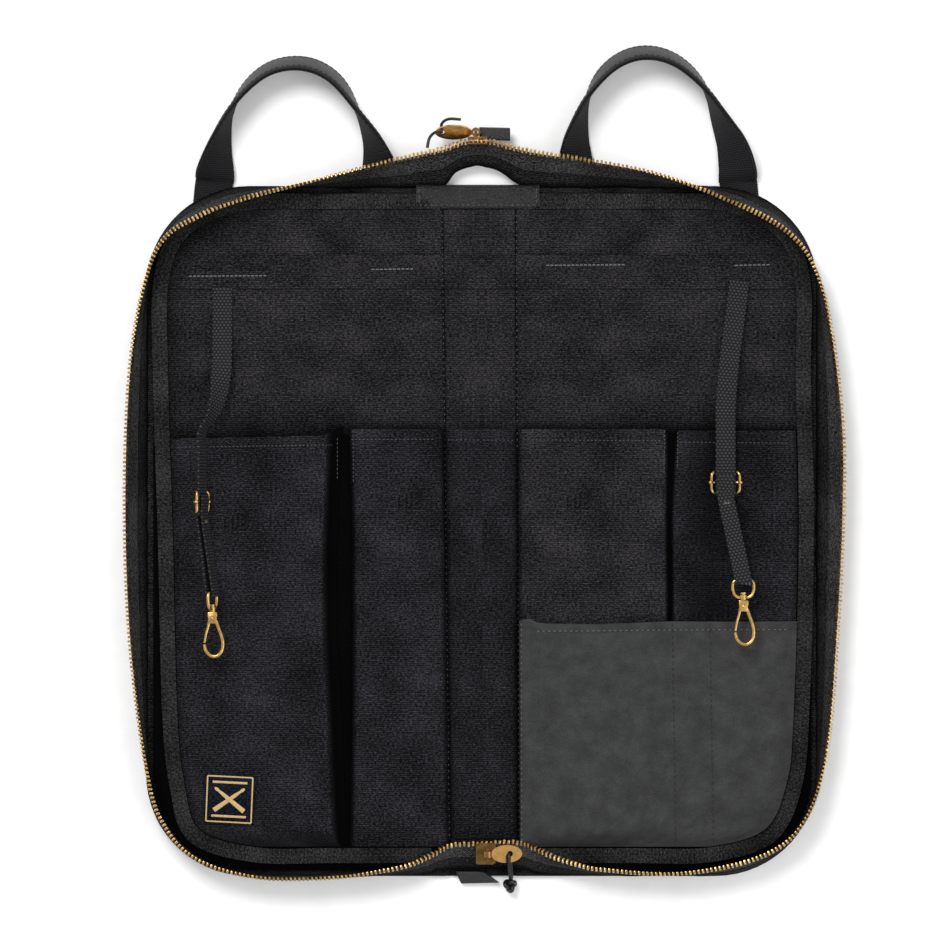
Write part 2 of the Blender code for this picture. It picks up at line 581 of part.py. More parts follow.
def build_strap(side, name):
    anchor = np.array(STRAP_ANCHOR[side])
    centre = np.array(SLIDE_AT[side])
    body = joint(f"{name}_strap", anchor)
    bends = {-1: [(-171.6, 140, 8.0), (-171.8, 105, 13.5), (-175.5, 80, 18.5)],
             1: [(168, 145, 8.2), (163.5, 112, 12.0), (161, 86, 14.9)]}[side]
    straight = [centre + (0, 46, 0), centre + (0, 36, 0), centre + (0, 18, 0), centre - (0, 8.9, 0)]
    path = smooth([anchor, *bends, *straight], 40)
    turn = STRAP_TILT[side] * np.clip((centre[1] + 92 - path[:, 1]) / 42, 0, 1)
    lean = np.stack([np.cos(turn), 0 * turn, -np.sin(turn)], axis=1)
    add(f"{name}_strap_web", sweep(path, lean, flat_profile(STRAP_WIDTH, WEB_THICK)), WEBBING, body)

    turn = Matrix.Rotation(STRAP_TILT[side], 4, "Y")
    slide = joint(f"{name}_slide", centre)
    w, h = SLIDE_SIZE[0] / 2, SLIDE_SIZE[1] / 2
    bars = [box(-w, -w + 2.4, -h, h, -2.5, 2.5), box(w - 2.4, w, -h, h, -2.5, 2.5),
            box(-w + 1, w - 1, 0.15 - h, 2.5 - h, -2.35, -1.0),
            box(-w + 1, w - 1, h - 2.5, h - 0.15, -2.35, -1.0), box(-w + 1, w - 1, -1.4, 1.4, 1.0, 2.35)]
    place = Matrix.Translation(Vector(centre)) @ turn
    union(f"{name}_slide_buckle", [moved(b, place) for b in bars], BRASS, slide)

    hook_at = np.array(HOOK_AT[side])
    eye = hook_at + (0, RING_HIGH - RING_WIRE + 1.0, 0)
    loop = joint(f"{name}_loop", centre - (0, 10, 0))
    lean = strap_direction(side)
    normal = np.array((math.sin(STRAP_TILT[side]), 0, math.cos(STRAP_TILT[side])))
    start = centre - (0, 11.2, 0)
    gap = 2.25
    top = [start + normal * 0.95, start + (eye - start) * 0.5 + normal * 1.9]
    turns = [eye + normal * gap * math.cos(a) - np.array((0, gap * math.sin(a), 0))
             for a in np.radians(np.arange(0, 181, 30))]
    low = [start + (eye - start) * 0.5 - normal * 1.9, start - normal * 0.95]
    path = spaced(smooth([*top, *turns, *low], 120), 56)
    add(f"{name}_loop_web", sweep(path, lean, flat_profile(LOOP_WIDTH, WEB_THICK)), WEBBING, loop)

    ring = joint(f"{name}_ring", eye)
    place = Matrix.Translation(Vector(hook_at)) @ turn
    build_ring(name, place, ring)
    hook = joint(f"{name}_hook", hook_at)
    build_hook(name, hook_at, hook)


def build_ring(name, place, body):
    """The eye above the swivel: a flat-topped ring whose foot is bored for the hook's post."""
    w, r = RING_WIDE / 2 - RING_WIRE, RING_WIRE
    top, low = RING_HIGH - r + 1.0, 1.0 + r
    line = [(-w + 1.4, top), (w - 1.4, top), (w - 0.3, top - 0.5), (w, top - 2), (w - 0.4, low + 4),
            (w - 2.6, low + 1.0), (2.2, low), (-2.2, low), (-w + 2.6, low + 1.0), (-w + 0.4, low + 4),
            (-w, top - 2), (-w + 0.3, top - 0.5)]
    wire = sweep([(x, y, 0) for x, y in line], (0, 0, 1), round_profile(r), ring=True)
    collar = ring_shape(1.35, 2.9, 1.3, 12)
    collar = moved(collar, Matrix.Translation((0, 2.3, 0)) @ Matrix.Rotation(math.radians(90), 4, "X"))
    made = union(f"{name}_ring_eye", [moved(wire, place), moved(collar, place)], BRASS, body)
    bore = sweep([(0, -2, 0), (0, 6, 0)], (1, 0, 0), round_profile(1.35, 12))
    cutter = add(f"{name}_ring_bore", moved(bore, place), BRASS)
    cutter.hide_render = True
    cutter.display_type = "WIRE"
    cut = made.modifiers.new("post_bore", "BOOLEAN")
    cut.operation, cut.solver, cut.object = "DIFFERENCE", "EXACT", cutter


def build_hook(name, at, body):
    place = Matrix.Translation(Vector(at))
    line = smooth([(1.6, -2.6), (4.2, -6), (6.4, -11), (7.0, -17.5), (5.6, -24.0), (1.2, -28.2),
                   (-3.2, -27.4), (-5.6, -23.6), (-5.9, -20.6)], 26)
    wire = sweep([(x, y, 0) for x, y in line], (0, 0, 1), round_profile(HOOK_WIRE))
    shapes = [
        box(-3.4, 3.4, -2.6, 0, -2.3, 2.3),
        box(-3.6, 1.2, -6.2, -2.2, 1.35, 2.2),
        box(-3.6, 1.2, -6.2, -2.2, -2.2, -1.35),
        wire,
        sweep([(0, -1, 0), (0, 4.4, 0)], (1, 0, 0), round_profile(0.95, 10)),
        sweep([(0, 4.1, 0), (0, 5.3, 0)], (1, 0, 0), round_profile(1.9, 10)),
    ]
    union(f"{name}_hook_body", [moved(s, place) for s in shapes], BRASS, body)
    pivot = np.array(at) + (-2.2, -4.4, 0)
    gate = joint(f"{name}_gate", pivot)
    bar = sweep([(-2.3, -4.0, 0), (-3.3, -8, 0), (-5.6, -18.2, 0)], (0, 0, 1), round_profile(1.0))
    add(f"{name}_hook_gate", moved(bar, place), BRASS, gate)


def main():
    build_spine()
    build_bridges()
    build_zip_ends()
    left = joint("left_half", (-FOLD_X, 0, FOLD_Z))
    right = joint("right_half", (FOLD_X, 0, FOLD_Z))
    build_half(-1, "left", left)
    build_half(1, "right", right)
    build_left_pockets(left)
    build_right_pockets(right)
    for side, name in ((-1, "left"), (1, "right")):
        build_handle(side, name)
        build_strap(side, name)


main()
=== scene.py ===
"""The looks of the drum stick bag: cloth, leather, webbing and brass on the frame that CAD made.

Lengths are written in millimetres and become metres when a mesh is made.
X runs across the two halves, Y along the spine and Z up.
"""
import math

import bmesh
import bpy
import numpy as np
from mathutils import Matrix, Vector
from mathutils.bvhtree import BVHTree
from mathutils.noise import noise


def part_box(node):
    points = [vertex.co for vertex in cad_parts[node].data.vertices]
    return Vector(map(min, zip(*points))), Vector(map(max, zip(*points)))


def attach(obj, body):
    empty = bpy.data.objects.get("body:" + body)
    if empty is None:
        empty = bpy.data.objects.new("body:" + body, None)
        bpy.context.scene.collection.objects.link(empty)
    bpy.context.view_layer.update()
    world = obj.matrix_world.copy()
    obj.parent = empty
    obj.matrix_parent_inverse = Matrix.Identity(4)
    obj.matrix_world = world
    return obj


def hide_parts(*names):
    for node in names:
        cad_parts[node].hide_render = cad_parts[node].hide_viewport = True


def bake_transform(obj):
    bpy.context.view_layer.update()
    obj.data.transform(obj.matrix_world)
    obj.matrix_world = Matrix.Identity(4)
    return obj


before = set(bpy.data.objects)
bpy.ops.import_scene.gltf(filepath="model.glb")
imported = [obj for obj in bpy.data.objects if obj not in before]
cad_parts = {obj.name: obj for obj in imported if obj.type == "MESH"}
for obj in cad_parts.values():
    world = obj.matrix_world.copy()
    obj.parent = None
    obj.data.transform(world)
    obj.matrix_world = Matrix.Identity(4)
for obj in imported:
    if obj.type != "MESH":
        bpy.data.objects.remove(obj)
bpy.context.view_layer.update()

MM = 0.001
SIDES = ((-1, "left"), (1, "right"))
PANEL_LOW, PANEL_HIGH = (np.array(corner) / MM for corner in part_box("right_outer_panel"))
PANEL_OUT, PANEL_TOP, PANEL_FOOT = PANEL_HIGH[0], PANEL_HIGH[1], PANEL_LOW[1]
PANEL_CORNER = 68.0
LINING_INSET = 5.0
ZIP_Z = 23.6
WALL_FOOT_Z = 3.1
POCKET_TOP, POCKET_FOOT = 66.0, -210.0
SPINE_POCKET_FOOT = -205.0
POCKET_RISE = 14.0
HANDLE_WIDTH, STRAP_WIDTH, LOOP_WIDTH, WEB_THICK = 25, 13, 10.8, 1.3
SHARP_ANGLE = math.radians(52)
TOOTH_PITCH = 2.8

# the zip's line round each half
ZIP_LINE = {
    -1: [(60, 241.5), (106.9, 229.7), (159.7, 216.5), (186.1, 205.9), (209.2, 190.7),
         (221.8, 161), (231, 105), (234.3, 19), (231, -73), (219.8, -162),
         (207.9, -196), (186.1, -217.8), (146.5, -229), (93.7, -228.7), (60, -223.8)],
    1: [(60, 243.8), (117.5, 232.3), (170.3, 212.9), (203.3, 193.4), (220.4, 167.6),
        (229.7, 128), (236.9, 65.3), (237, 10), (233.6, -60), (226.4, -145.9),
        (211.9, -192), (183.5, -215.2), (130.7, -226.4), (77.9, -223.7), (60, -219.8)],
}
# the zip's way over the spine, from the middle out to each half: X, Y, Z
TOP_BRIDGE = {
    -1: [(0, 255.5, 16), (10.6, 255.3, 16), (24, 250.5, 18.5), (40, 246.5, 22), (60, 241.5, 23.6)],
    1: [(0, 255.5, 16), (5.3, 255.3, 16), (24, 250.3, 18.5), (40, 246.8, 22), (60, 243.8, 23.6)],
}
LOW_BRIDGE = {
    -1: [(0, -208, 9.2), (8, -208, 9.2), (21, -209, 9.3), (31, -213.8, 14), (46, -220.5, 21.5),
         (60, -223.8, 23.6)],
    1: [(0, -208, 9.2), (16, -206.9, 9.2), (26, -207.6, 9.2), (33, -209.8, 14), (40, -212.6, 18.5),
        (48, -216, 21), (60, -219.8, 23.6)],
}
TOP_FOOT = {
    -1: [(0, 239.4, 10), (5, 239.6, 10), (17, 235.6, 8.5), (25, 227, 4.6), (40, 226, 3.6), (60, 225.6, 3.1)],
    1: [(0, 239.4, 10), (11.2, 236.3, 8.5), (25, 227.6, 4.6), (40, 226, 3.6), (60, 225.6, 3.1)],
}
LOW_FOOT = [(0, -225, 4.8), (29, -225.2, 4.8), (36, -227.6, 3.6), (60, -228.6, 3.1)]
# the rows of stitches that hold a handle's webbing: from X, to X, at Y
TACKS = {-1: ((-194, -142, 167), (-73.3, -45, 171.5)), 1: ((42.3, 95, 174.2), (167, 190.8, 174.2))}
# how far a handle has turned on its edge at each height of the bag: Y, degrees
HANDLE_TURN = {
    -1: [(160, 0), (226, 0), (232, 12), (243, 42), (254, 62), (265, 78), (275, 90), (290, 103), (307, 112)],
    1: [(160, 0), (226, 0), (232, 12), (245, 34), (256, 52), (266, 66), (285, 90), (298, 103), (314, 112)],
}
HANDLE_ARCH = {
    -1: [(-173, 250.8), (-165.5, 274.6), (-154, 292), (-140, 303), (-123.4, 306.6),
         (-108, 303.5), (-95, 294), (-85, 278.5), (-76, 262), (-71, 250.8)],
    1: [(62, 250.8), (65, 266), (70.5, 284), (80.5, 300), (92.4, 309.5), (106.3, 313.5),
        (120.8, 311.5), (134.6, 303.5), (147.2, 289), (155.8, 271), (166, 250.8)],
}
HANDLE_LEGS = {
    -1: [[(-181, 167), (-179, 219), (-176.4, 237), (-173.4, 249)],
         [(-70.6, 249), (-67.5, 237), (-62, 219), (-60, 167)]],
    1: [[(63, 167), (62.5, 219), (62, 249)], [(166.6, 249), (169, 237), (171, 222), (172, 167)]],
}
HOOK_AT = {-1: (-177.3, -54.8, 21.8), 1: (171.8, -46.9, 21.8)}
SLIDE_AT = {-1: (-184.0, 18.0, 21.3), 1: (160.6, 30.7, 15.5)}
STRAP_TILT = {-1: math.radians(70), 1: 0.0}
# the strap's bends between its sewn end and its straight part above the slide
STRAP_BENDS = {-1: [(-171.6, 140, 8.0), (-171.8, 105, 13.5), (-175.5, 80, 18.5)],
               1: [(168, 145, 8.2), (163.5, 112, 12.0), (161, 86, 14.9)]}
STRAP_ANCHOR = {-1: (-171.6, 159.5, 7.2), 1: (170.3, 164.0, 7.2)}


# ---- shapes ----
def spaced(points, count):
    p = np.array(points, float)
    along = np.r_[0, np.cumsum(np.linalg.norm(np.diff(p, axis=0), axis=1))]
    at = np.linspace(0, along[-1], count)
    return np.stack([np.interp(at, along, p[:, k]) for k in range(p.shape[1])], axis=1)


def smooth(points, count):
    """Evenly spaced points on a Catmull-Rom curve through the given ones."""
    p = np.array(points, float)
    p = np.vstack([2 * p[0] - p[1], p, 2 * p[-1] - p[-2]])
    fine = []
    for a, b, c, d in zip(p, p[1:], p[2:], p[3:]):
        for t in np.linspace(0, 1, 12, endpoint=False):
            bend = (2 * a - 5 * b + 4 * c - d) * t * t + (3 * b - a - 3 * c + d) * t**3
            fine.append(0.5 * (2 * b + (c - a) * t + bend))
    return spaced(fine + [p[-2]], count)


def unit(v):
    return v / np.maximum(np.linalg.norm(v, axis=-1, keepdims=True), 1e-9)


def wander(x, y, scale, seed=0.0):
    """Soft, repeatable unevenness from -1 to 1."""
    return noise(Vector((x / scale, y / scale, seed)))


def finish_mesh(name, points, faces, uvs, mat, deep=None):
    mesh = bpy.data.meshes.new(name)
    places = [tuple(np.asarray(p) * MM) for p in points]
    mesh.from_pydata(places, [], [tuple(int(i) for i in f) for f in faces])
    layer = mesh.uv_layers.new(name="weave")
    for loop in mesh.loops:
        layer.data[loop.index].uv = uvs[loop.vertex_index]
    form = bmesh.new()
    form.from_mesh(mesh)
    bmesh.ops.recalc_face_normals(form, faces=form.faces)
    form.to_mesh(mesh)
    form.free()
    made = bpy.data.objects.new(name, mesh)
    bpy.context.scene.collection.objects.link(made)
    mesh.materials.append(mat)
    # deep is painted shade from 0 to 1; the cloth material darkens its colour by it
    if deep is not None:
        mesh.attributes.new("deep", "FLOAT", "POINT").data.foreach_set("value", np.asarray(deep, np.float32))
    mesh.shade_smooth()
    mesh.set_sharp_from_angle(angle=SHARP_ANGLE)
    return made


def sheet(name, rows, thick, mat, top_is_up=True, deep=None):
    """A sheet of cloth from a grid of points on its face, with its thickness behind it."""
    rows = np.asarray(rows, float)
    n, m = rows.shape[:2]
    across = np.gradient(rows, axis=1)
    along = np.gradient(rows, axis=0)
    out = unit(np.cross(across, along))
    if (out[..., 2].sum() < 0) == top_is_up:
        out = -out
    back = rows - out * thick
    u, v = (np.r_[0, np.cumsum(np.linalg.norm(np.diff(rows, axis=k), axis=2).mean(axis=1 - k))] for k in (1,
                                                                                                          0))
    uvs = np.concatenate([np.stack(np.meshgrid(u, v), 2).reshape(-1, 2)] * 2)
    a = np.arange(n * m).reshape(n, m)
    faces = []
    for r in range(n - 1):
        for c in range(m - 1):
            q = (a[r, c], a[r, c + 1], a[r + 1, c + 1], a[r + 1, c])
            faces += [q, tuple(i + n * m for i in q[::-1])]
    rim = [*a[0, :-1], *a[:-1, -1], *a[-1, :0:-1], *a[:0:-1, 0]]
    faces += [(i, i + n * m, j + n * m, j) for i, j in zip(rim, rim[1:] + rim[:1])]
    # painted shade at each point of the face, repeated for the back
    if deep is not None:
        deep = np.concatenate([np.clip(deep, 0, 1).ravel()] * 2)
    points = np.vstack([rows.reshape(-1, 3), back.reshape(-1, 3)])
    return finish_mesh(name, points, faces, uvs, mat, deep=deep)


def sweep_shape(path, side, profile, ring=False):
    """Points, faces and weave coordinates of a profile, or one for each point, along a path."""
    p = np.asarray(path, float)
    n = len(p)
    along = unit(np.roll(p, -1, 0) - np.roll(p, 1, 0)) if ring else unit(np.gradient(p, axis=0))
    side = np.broadcast_to(np.asarray(side, float), p.shape)
    side = unit(side - (side * along).sum(axis=1)[:, None] * along)
    up = np.cross(along, side)
    prof = np.asarray(profile, float)
    prof = np.broadcast_to(prof, (n, *prof.shape[-2:]))
    m = prof.shape[1]
    points = (p[:, None] + prof[..., :1] * side[:, None] + prof[..., 1:] * up[:, None]).reshape(-1, 3)
    faces = []
    for i in range(n if ring else n - 1):
        for j in range(m):
            here, there, k = i * m, (i + 1) % n * m, (j + 1) % m
            faces.append((here + j, here + k, there + k, there + j))
    if not ring:
        faces += [tuple(range(m)), tuple(range((n - 1) * m, n * m))]
    length = np.r_[0, np.cumsum(np.linalg.norm(np.diff(p, axis=0), axis=1))]
    uvs = np.stack([prof[..., 0], np.broadcast_to(length[:, None], (n, m))], 2).reshape(-1, 2)
    return points, faces, uvs


def sweep(name, path, side, profile, mat):
    return finish_mesh(name, *sweep_shape(path, side, profile), mat)


def disc(radius, sides, squash=1.0):
    turns = [2 * math.pi * (i + 0.5) / sides for i in range(sides)]
    return [(radius * math.cos(a), squash * radius * math.sin(a)) for a in turns]


def merged(name, shapes, mat):
    """One mesh from several shapes of (points, faces[, uvs])."""
    points, faces, uvs, start = [], [], [], 0
    for shape in shapes:
        p = np.asarray(shape[0], float)
        points.append(p)
        faces += [tuple(i + start for i in f) for f in shape[1]]
        uvs.append(shape[2] if len(shape) > 2 else p[:, :2])
        start += len(p)
    return finish_mesh(name, np.vstack(points), faces, np.vstack(uvs), mat)


def moved(shape, matrix):
    m = np.array(matrix)
    return (np.asarray(shape[0], float) @ m[:3, :3].T + m[:3, 3], *shape[1:])


def rounded_box(size, radius):
    """A box with all its edges rounded."""
    form = bmesh.new()
    bmesh.ops.create_cube(form, size=1.0)
    bmesh.ops.scale(form, vec=size, verts=form.verts)
    bmesh.ops.bevel(form, geom=list(form.edges), offset=radius, segments=2, profile=0.6, affect="EDGES")
    form.verts.index_update()
    shape = [tuple(v.co) for v in form.verts], [tuple(v.index for v in f.verts) for f in form.faces]
    form.free()
    return shape


# ---- materials ----
class Nodes:
    """A short way to write a material's nodes."""

    def __init__(self, name, rough, metal=0.0):
        self.mat = bpy.data.materials.new(name)
        self.mat.use_nodes = True
        self.tree = self.mat.node_tree
        self.shader = self.tree.nodes["Principled BSDF"]
        self.shader.inputs["Roughness"].default_value = rough
        self.shader.inputs["Metallic"].default_value = metal

    def put(self, kind, values=None, **settings):
        node = self.tree.nodes.new(kind)
        for key, value in settings.items():
            setattr(node, key, value)
        for key, value in (values or {}).items():
            if isinstance(value, bpy.types.NodeSocket):
                self.tree.links.new(value, node.inputs[key])
            else:
                node.inputs[key].default_value = value
        return node

    def math(self, kind, a, b=0.0):
        return self.put("ShaderNodeMath", {0: a, 1: b}, operation=kind).outputs[0]

    def plus(self, a, b):
        return self.math("ADD", a, b)

    def times(self, a, b):
        return self.math("MULTIPLY", a, b)

    def humps(self, along):
        """A row of round humps, one for each whole step."""
        return self.math("ABSOLUTE", self.math("SINE", self.times(along, math.pi)))

    def swing(self, factor, amount):
        """A noise made to swing round zero."""
        return self.times(self.math("SUBTRACT", factor, 0.5), amount)

    def split(self, where):
        return self.put("ShaderNodeSeparateXYZ", {0: where}).outputs

    def stretched(self, where, x, y):
        return self.put("ShaderNodeMapping", {"Vector": where, "Scale": (x, y, 1)}).outputs[0]

    def place(self, source="UV"):
        return self.put("ShaderNodeTexCoord").outputs[source]

    def noise(self, where, scale, detail=4.0, rough=0.6):
        values = {"Vector": where, "Scale": scale, "Detail": detail, "Roughness": rough}
        return self.put("ShaderNodeTexNoise", values).outputs["Fac"]

    def ramp(self, factor, stops):
        node = self.put("ShaderNodeValToRGB", {"Fac": factor})
        while len(node.color_ramp.elements) < len(stops):
            node.color_ramp.elements.new(0.5)
        for element, (at, colour) in zip(node.color_ramp.elements, stops):
            element.position = at
            element.color = (*colour, 1)
        return node.outputs["Color"]

    def colour(self, socket):
        self.tree.links.new(socket, self.shader.inputs["Base Color"])

    def rough(self, factor, low, high):
        made = self.put("ShaderNodeMapRange", {"Value": factor, "To Min": low, "To Max": high})
        self.tree.links.new(made.outputs[0], self.shader.inputs["Roughness"])

    def bump(self, height, distance):
        made = self.put("ShaderNodeBump", {"Height": height, "Distance": distance * MM, "Strength": 1.0})
        self.tree.links.new(made.outputs["Normal"], self.shader.inputs["Normal"])

    def gloss(self, level):
        self.shader.inputs["Specular IOR Level"].default_value = level


def shade(colour, factor):
    return tuple(min(1.0, c * factor) for c in colour)


def cloth(name, colour, rib=1.3, thread=1.0, depth=0.2, contrast=0.5, speckle=0.78):
    """Plain-woven cloth: ribs split into threads, some lighter than others, with worn and dusty patches.

    A vertex attribute, deep, darkens its colour with painted shade where it runs into a fold or a pocket's
    mouth.
    """
    n = Nodes(name, 0.92)
    where = n.place()
    u, v = n.split(where)[:2]
    slub = n.noise(n.stretched(where, 0.05, 1.2), 1.0, 2.0)
    row = n.math("DIVIDE", n.plus(v, n.times(slub, rib * 0.35)), rib)
    column = n.plus(n.math("DIVIDE", u, thread), n.times(n.math("FLOOR", row), 0.5))
    threads = n.plus(n.times(n.humps(column), 0.55), 0.45)
    weave = n.times(n.math("POWER", n.humps(row), 0.7), threads)
    dots = n.noise(n.stretched(where, 0.6, 0.85), 1.0, 1.5, 0.8)
    fuzz = n.noise(where, 2.1, 3.0, 0.7)
    patches = n.noise(where, 0.028, 3.0, 0.55)
    tone = n.times(weave, contrast)
    for factor, amount in ((fuzz, 0.7), (dots, 2.4 * speckle), (patches, 0.8)):
        tone = n.plus(tone, n.swing(factor, amount))
    cloth_colour = n.ramp(tone, [(0.0, shade(colour, 0.12)), (0.35, colour), (0.95, shade(colour, 4.2))])
    # painted shade: the deep attribute darkens the cloth's colour towards black
    deep = n.put("ShaderNodeAttribute", attribute_name="deep").outputs["Fac"]
    light = n.math("SUBTRACT", 1.0, n.times(deep, 0.97))
    grey = n.put("ShaderNodeCombineColor", {0: light, 1: light, 2: light}).outputs[0]
    mixed = n.put("ShaderNodeMix", data_type="RGBA", blend_type="MULTIPLY")
    n.tree.links.new(cloth_colour, mixed.inputs[6])
    n.tree.links.new(grey, mixed.inputs[7])
    mixed.inputs[0].default_value = 1.0
    n.colour(mixed.outputs[2])
    n.bump(n.plus(weave, n.times(dots, 0.6)), depth)
    n.gloss(0.05)
    return n.mat


def webbing(name, colour, pitch, depth, light):
    """Heavy webbing: a staggered field of round thread humps, light times as bright on their tops."""
    n = Nodes(name, 0.8)
    u, v = n.split(n.place())[:2]
    row = n.math("DIVIDE", v, pitch * 0.8)
    column = n.plus(n.math("DIVIDE", u, pitch), n.times(n.math("FLOOR", row), 0.5))
    hump = n.times(n.humps(row), n.humps(column))
    fuzz = n.noise(n.place(), 1.1, 3.0, 0.7)
    tone = n.plus(n.times(hump, 0.8), n.swing(fuzz, 0.9))
    n.colour(n.ramp(tone, [(0.12, shade(colour, 0.1)), (0.42, colour), (0.95, shade(colour, light))]))
    n.bump(n.plus(hump, n.times(fuzz, 0.2)), depth)
    n.gloss(0.3)
    return n.mat


def leather(name, colour, rough, mottle, grain, depth, gloss, nap=0.4):
    """Leather: cloudy colour, a fine nap and a grain of small cells."""
    n = Nodes(name, rough)
    where = n.place()
    clouds = n.noise(where, 0.07, 6.0, 0.68)
    fine = n.noise(where, 0.9, 4.0, 0.7)
    fibres = n.noise(where, 1.3, 2.0, 0.8)
    cells = n.put("ShaderNodeTexVoronoi", {"Vector": where, "Scale": grain}, feature="DISTANCE_TO_EDGE")
    cells = n.math("MINIMUM", n.times(cells.outputs[0], 3.0), 1.0)
    tone = n.plus(n.times(clouds, mottle), n.times(fine, 1 - mottle))
    tone = n.plus(tone, n.swing(fibres, 0.35 * nap))
    n.colour(n.ramp(tone, [(0.32, shade(colour, 0.55)), (0.5, colour), (0.68, shade(colour, 1.6))]))
    n.rough(fine, rough - 0.12, rough + 0.15)
    n.bump(n.plus(n.times(cells, 0.6), fine), depth)
    n.gloss(gloss)
    return n.mat


def metal(name, colour, rough, dark, patina_and_painted_reflection):
    """Cast and polished metal with slight tarnish; up-facing flats are darkened, both as an aged finish and
    as a painted reflection of the dark space above, and the edges are left bright.
    """
    n = Nodes(name, rough, 1.0)
    where = n.place("Object")
    tarnish = n.noise(where, 260.0, 4.0, 0.6)
    # painted reflection, also an aged finish: faces that point straight up get darker
    flat = n.split(n.place("Normal"))[2]
    flat = n.times(n.math("POWER", n.math("ABSOLUTE", flat), 6.0), patina_and_painted_reflection)
    worn = n.math("SUBTRACT", n.plus(n.times(tarnish, 0.6), 0.4), flat)
    n.colour(n.ramp(worn, [(0.0, shade(colour, 0.12)), (0.3, shade(colour, 0.35)),
                           (0.6, shade(colour, dark)),
                           (0.75, colour)]))
    n.rough(tarnish, rough - 0.06, rough + 0.12)
    n.bump(n.noise(where, 1500.0, 2.0), 0.02)
    return n.mat


def thread(name, colour):
    """Twisted sewing thread."""
    n = Nodes(name, 0.7)
    twist = n.noise(n.place("Object"), 2500.0, 2.0)
    n.colour(n.ramp(twist, [(0.3, shade(colour, 0.5)), (0.7, shade(colour, 1.3))]))
    return n.mat


CANVAS = cloth("heavy_canvas", (0.0125, 0.0122, 0.013))
LINING = cloth("lining_canvas", (0.0145, 0.0136, 0.0153))
POCKET = cloth("pocket_canvas", (0.0124, 0.012, 0.0142))
# painted shade: a darker copy of the pocket cloth for the spine's pocket fronts
SHADED_SPINE_CLOTH = cloth("spine_pocket_shaded_canvas", (0.0105, 0.0102, 0.012))
TAPE = cloth("zip_tape_weave", (0.024, 0.0232, 0.0242), 1.0, 1.9, 0.22, 0.6, 0.8)
BINDING = cloth("binding_tape_cloth", (0.018, 0.0184, 0.018), 0.9, 0.8, 0.25, 0.5, 0.7)
WEB = webbing("handle_webbing", (0.0024, 0.0024, 0.0034), 1.9, 0.4, 8.0)
STRAP = webbing("strap_webbing", (0.0058, 0.0054, 0.0064), 2.5, 0.35, 10.5)
NUBUCK = leather("nubuck_leather", (0.0315, 0.032, 0.0322), 0.85, 0.55, 1.8, 0.06, 0.12, 1.0)
LEATHER = leather("waxed_leather", (0.0105, 0.0106, 0.0109), 0.4, 0.5, 0.8, 0.25, 0.3)
HANDLE_LEATHER = leather("handle_leather", (0.0078, 0.0079, 0.0079), 0.45, 0.5, 1.1, 0.1, 0.2)
WRAP_LEATHER = leather("glazed_leather", (0.0076, 0.0078, 0.008), 0.34, 0.6, 0.45, 0.6, 0.3)
LACE = leather("lace_leather", (0.007, 0.007, 0.0075), 0.4, 0.5, 1.2, 0.1, 0.4)
BRASS = metal("polished_brass", (0.66, 0.42, 0.15), 0.26, 0.7, 0.12)
TEETH = metal("tooth_brass", (0.72, 0.46, 0.17), 0.28, 0.5, 0.1)
ANTIQUE = metal("antique_brass", (0.62, 0.36, 0.12), 0.3, 0.55, 0.55)
THREAD = thread("grey_thread", (0.06, 0.06, 0.07))
BEIGE_THREAD = thread("beige_thread", (0.2, 0.17, 0.12))
PALE_THREAD = thread("pale_thread", (0.12, 0.12, 0.135))
DARK_THREAD = thread("black_thread", (0.006, 0.006, 0.007))
PATCH = cloth("badge_weave", (0.007, 0.008, 0.014), 0.7, 0.7, 0.15)
GOLD = thread("gold_thread", (0.5, 0.34, 0.14))
FOAM = cloth("wadding_felt", (0.05, 0.05, 0.05), 2.2, 2.0, 0.3, 0.2)


# ---- camera, light and floor ----
def area_light(name, at, size, power):
    """A round lamp that looks at the origin."""
    lamp = bpy.data.objects.new(name, bpy.data.lights.new(name, "AREA"))
    lamp.data.shape, lamp.data.size, lamp.data.energy = "DISK", size, power
    lamp.location = at
    lamp.rotation_euler = (-Vector(at)).to_track_quat("-Z", "Y").to_euler()
    bpy.context.scene.collection.objects.link(lamp)


def set_stage():
    camera = bpy.data.objects.new("photo_camera", bpy.data.cameras.new("photo_camera"))
    lens, sensor, field, rim_height = 150, 36, 0.627, 0.012
    camera.data.lens, camera.data.sensor_width = lens, sensor
    camera.location = (-0.0046, 0.0356, field * lens / sensor + rim_height)
    bpy.context.scene.collection.objects.link(camera)
    bpy.context.scene.camera = camera

    floor_mat = Nodes("pale_floor", 0.9)
    speck = floor_mat.noise(floor_mat.place("Object"), 60.0, 3.0)
    floor_mat.colour(floor_mat.ramp(speck, [(0.3, (0.86, 0.86, 0.86)), (0.7, (0.9, 0.9, 0.9))]))
    bpy.ops.mesh.primitive_plane_add(size=8, location=(0, 0, -0.0006))
    floor = bpy.context.object
    floor.name = "floor"
    floor.data.materials.append(floor_mat.mat)

    world = bpy.data.worlds.new("studio")
    world.use_nodes = True
    sky = world.node_tree.nodes["Background"].inputs
    sky["Color"].default_value = (1, 1, 1, 1)
    sky["Strength"].default_value = 0.75
    bpy.context.scene.world = world
    area_light("key", (-0.7, 1.2, 1.9), size=1.1, power=38)
    area_light("fill", (1.3, -0.6, 1.6), size=1.6, power=14)
    bpy.context.scene.view_settings.view_transform = "Standard"


# ---- placing, draping and stitching ----
def over_fold(piece):
    """Bakes the piece's transform into its mesh, where it stands."""
    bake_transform(piece)


def dress(piece, body, slot, *nodes):
    """Gives a piece its body and hides the CAD solids that it stands for. slot is not used.

    left and right mean that its transform is baked where it stands, and None means that it has its place
    already.
    """
    if body in ("left", "right"):
        over_fold(piece)
    elif body:
        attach(piece, body)
    if nodes:
        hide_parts(*nodes)


def shared(side, *nodes):
    """Solids that the halves share go to the right-hand piece."""
    return nodes if side > 0 else ()


def tree_of(made):
    mesh = made.data
    points = [v.co / MM for v in mesh.vertices]
    return BVHTree.FromPolygons(points, [tuple(p.vertices) for p in mesh.polygons])


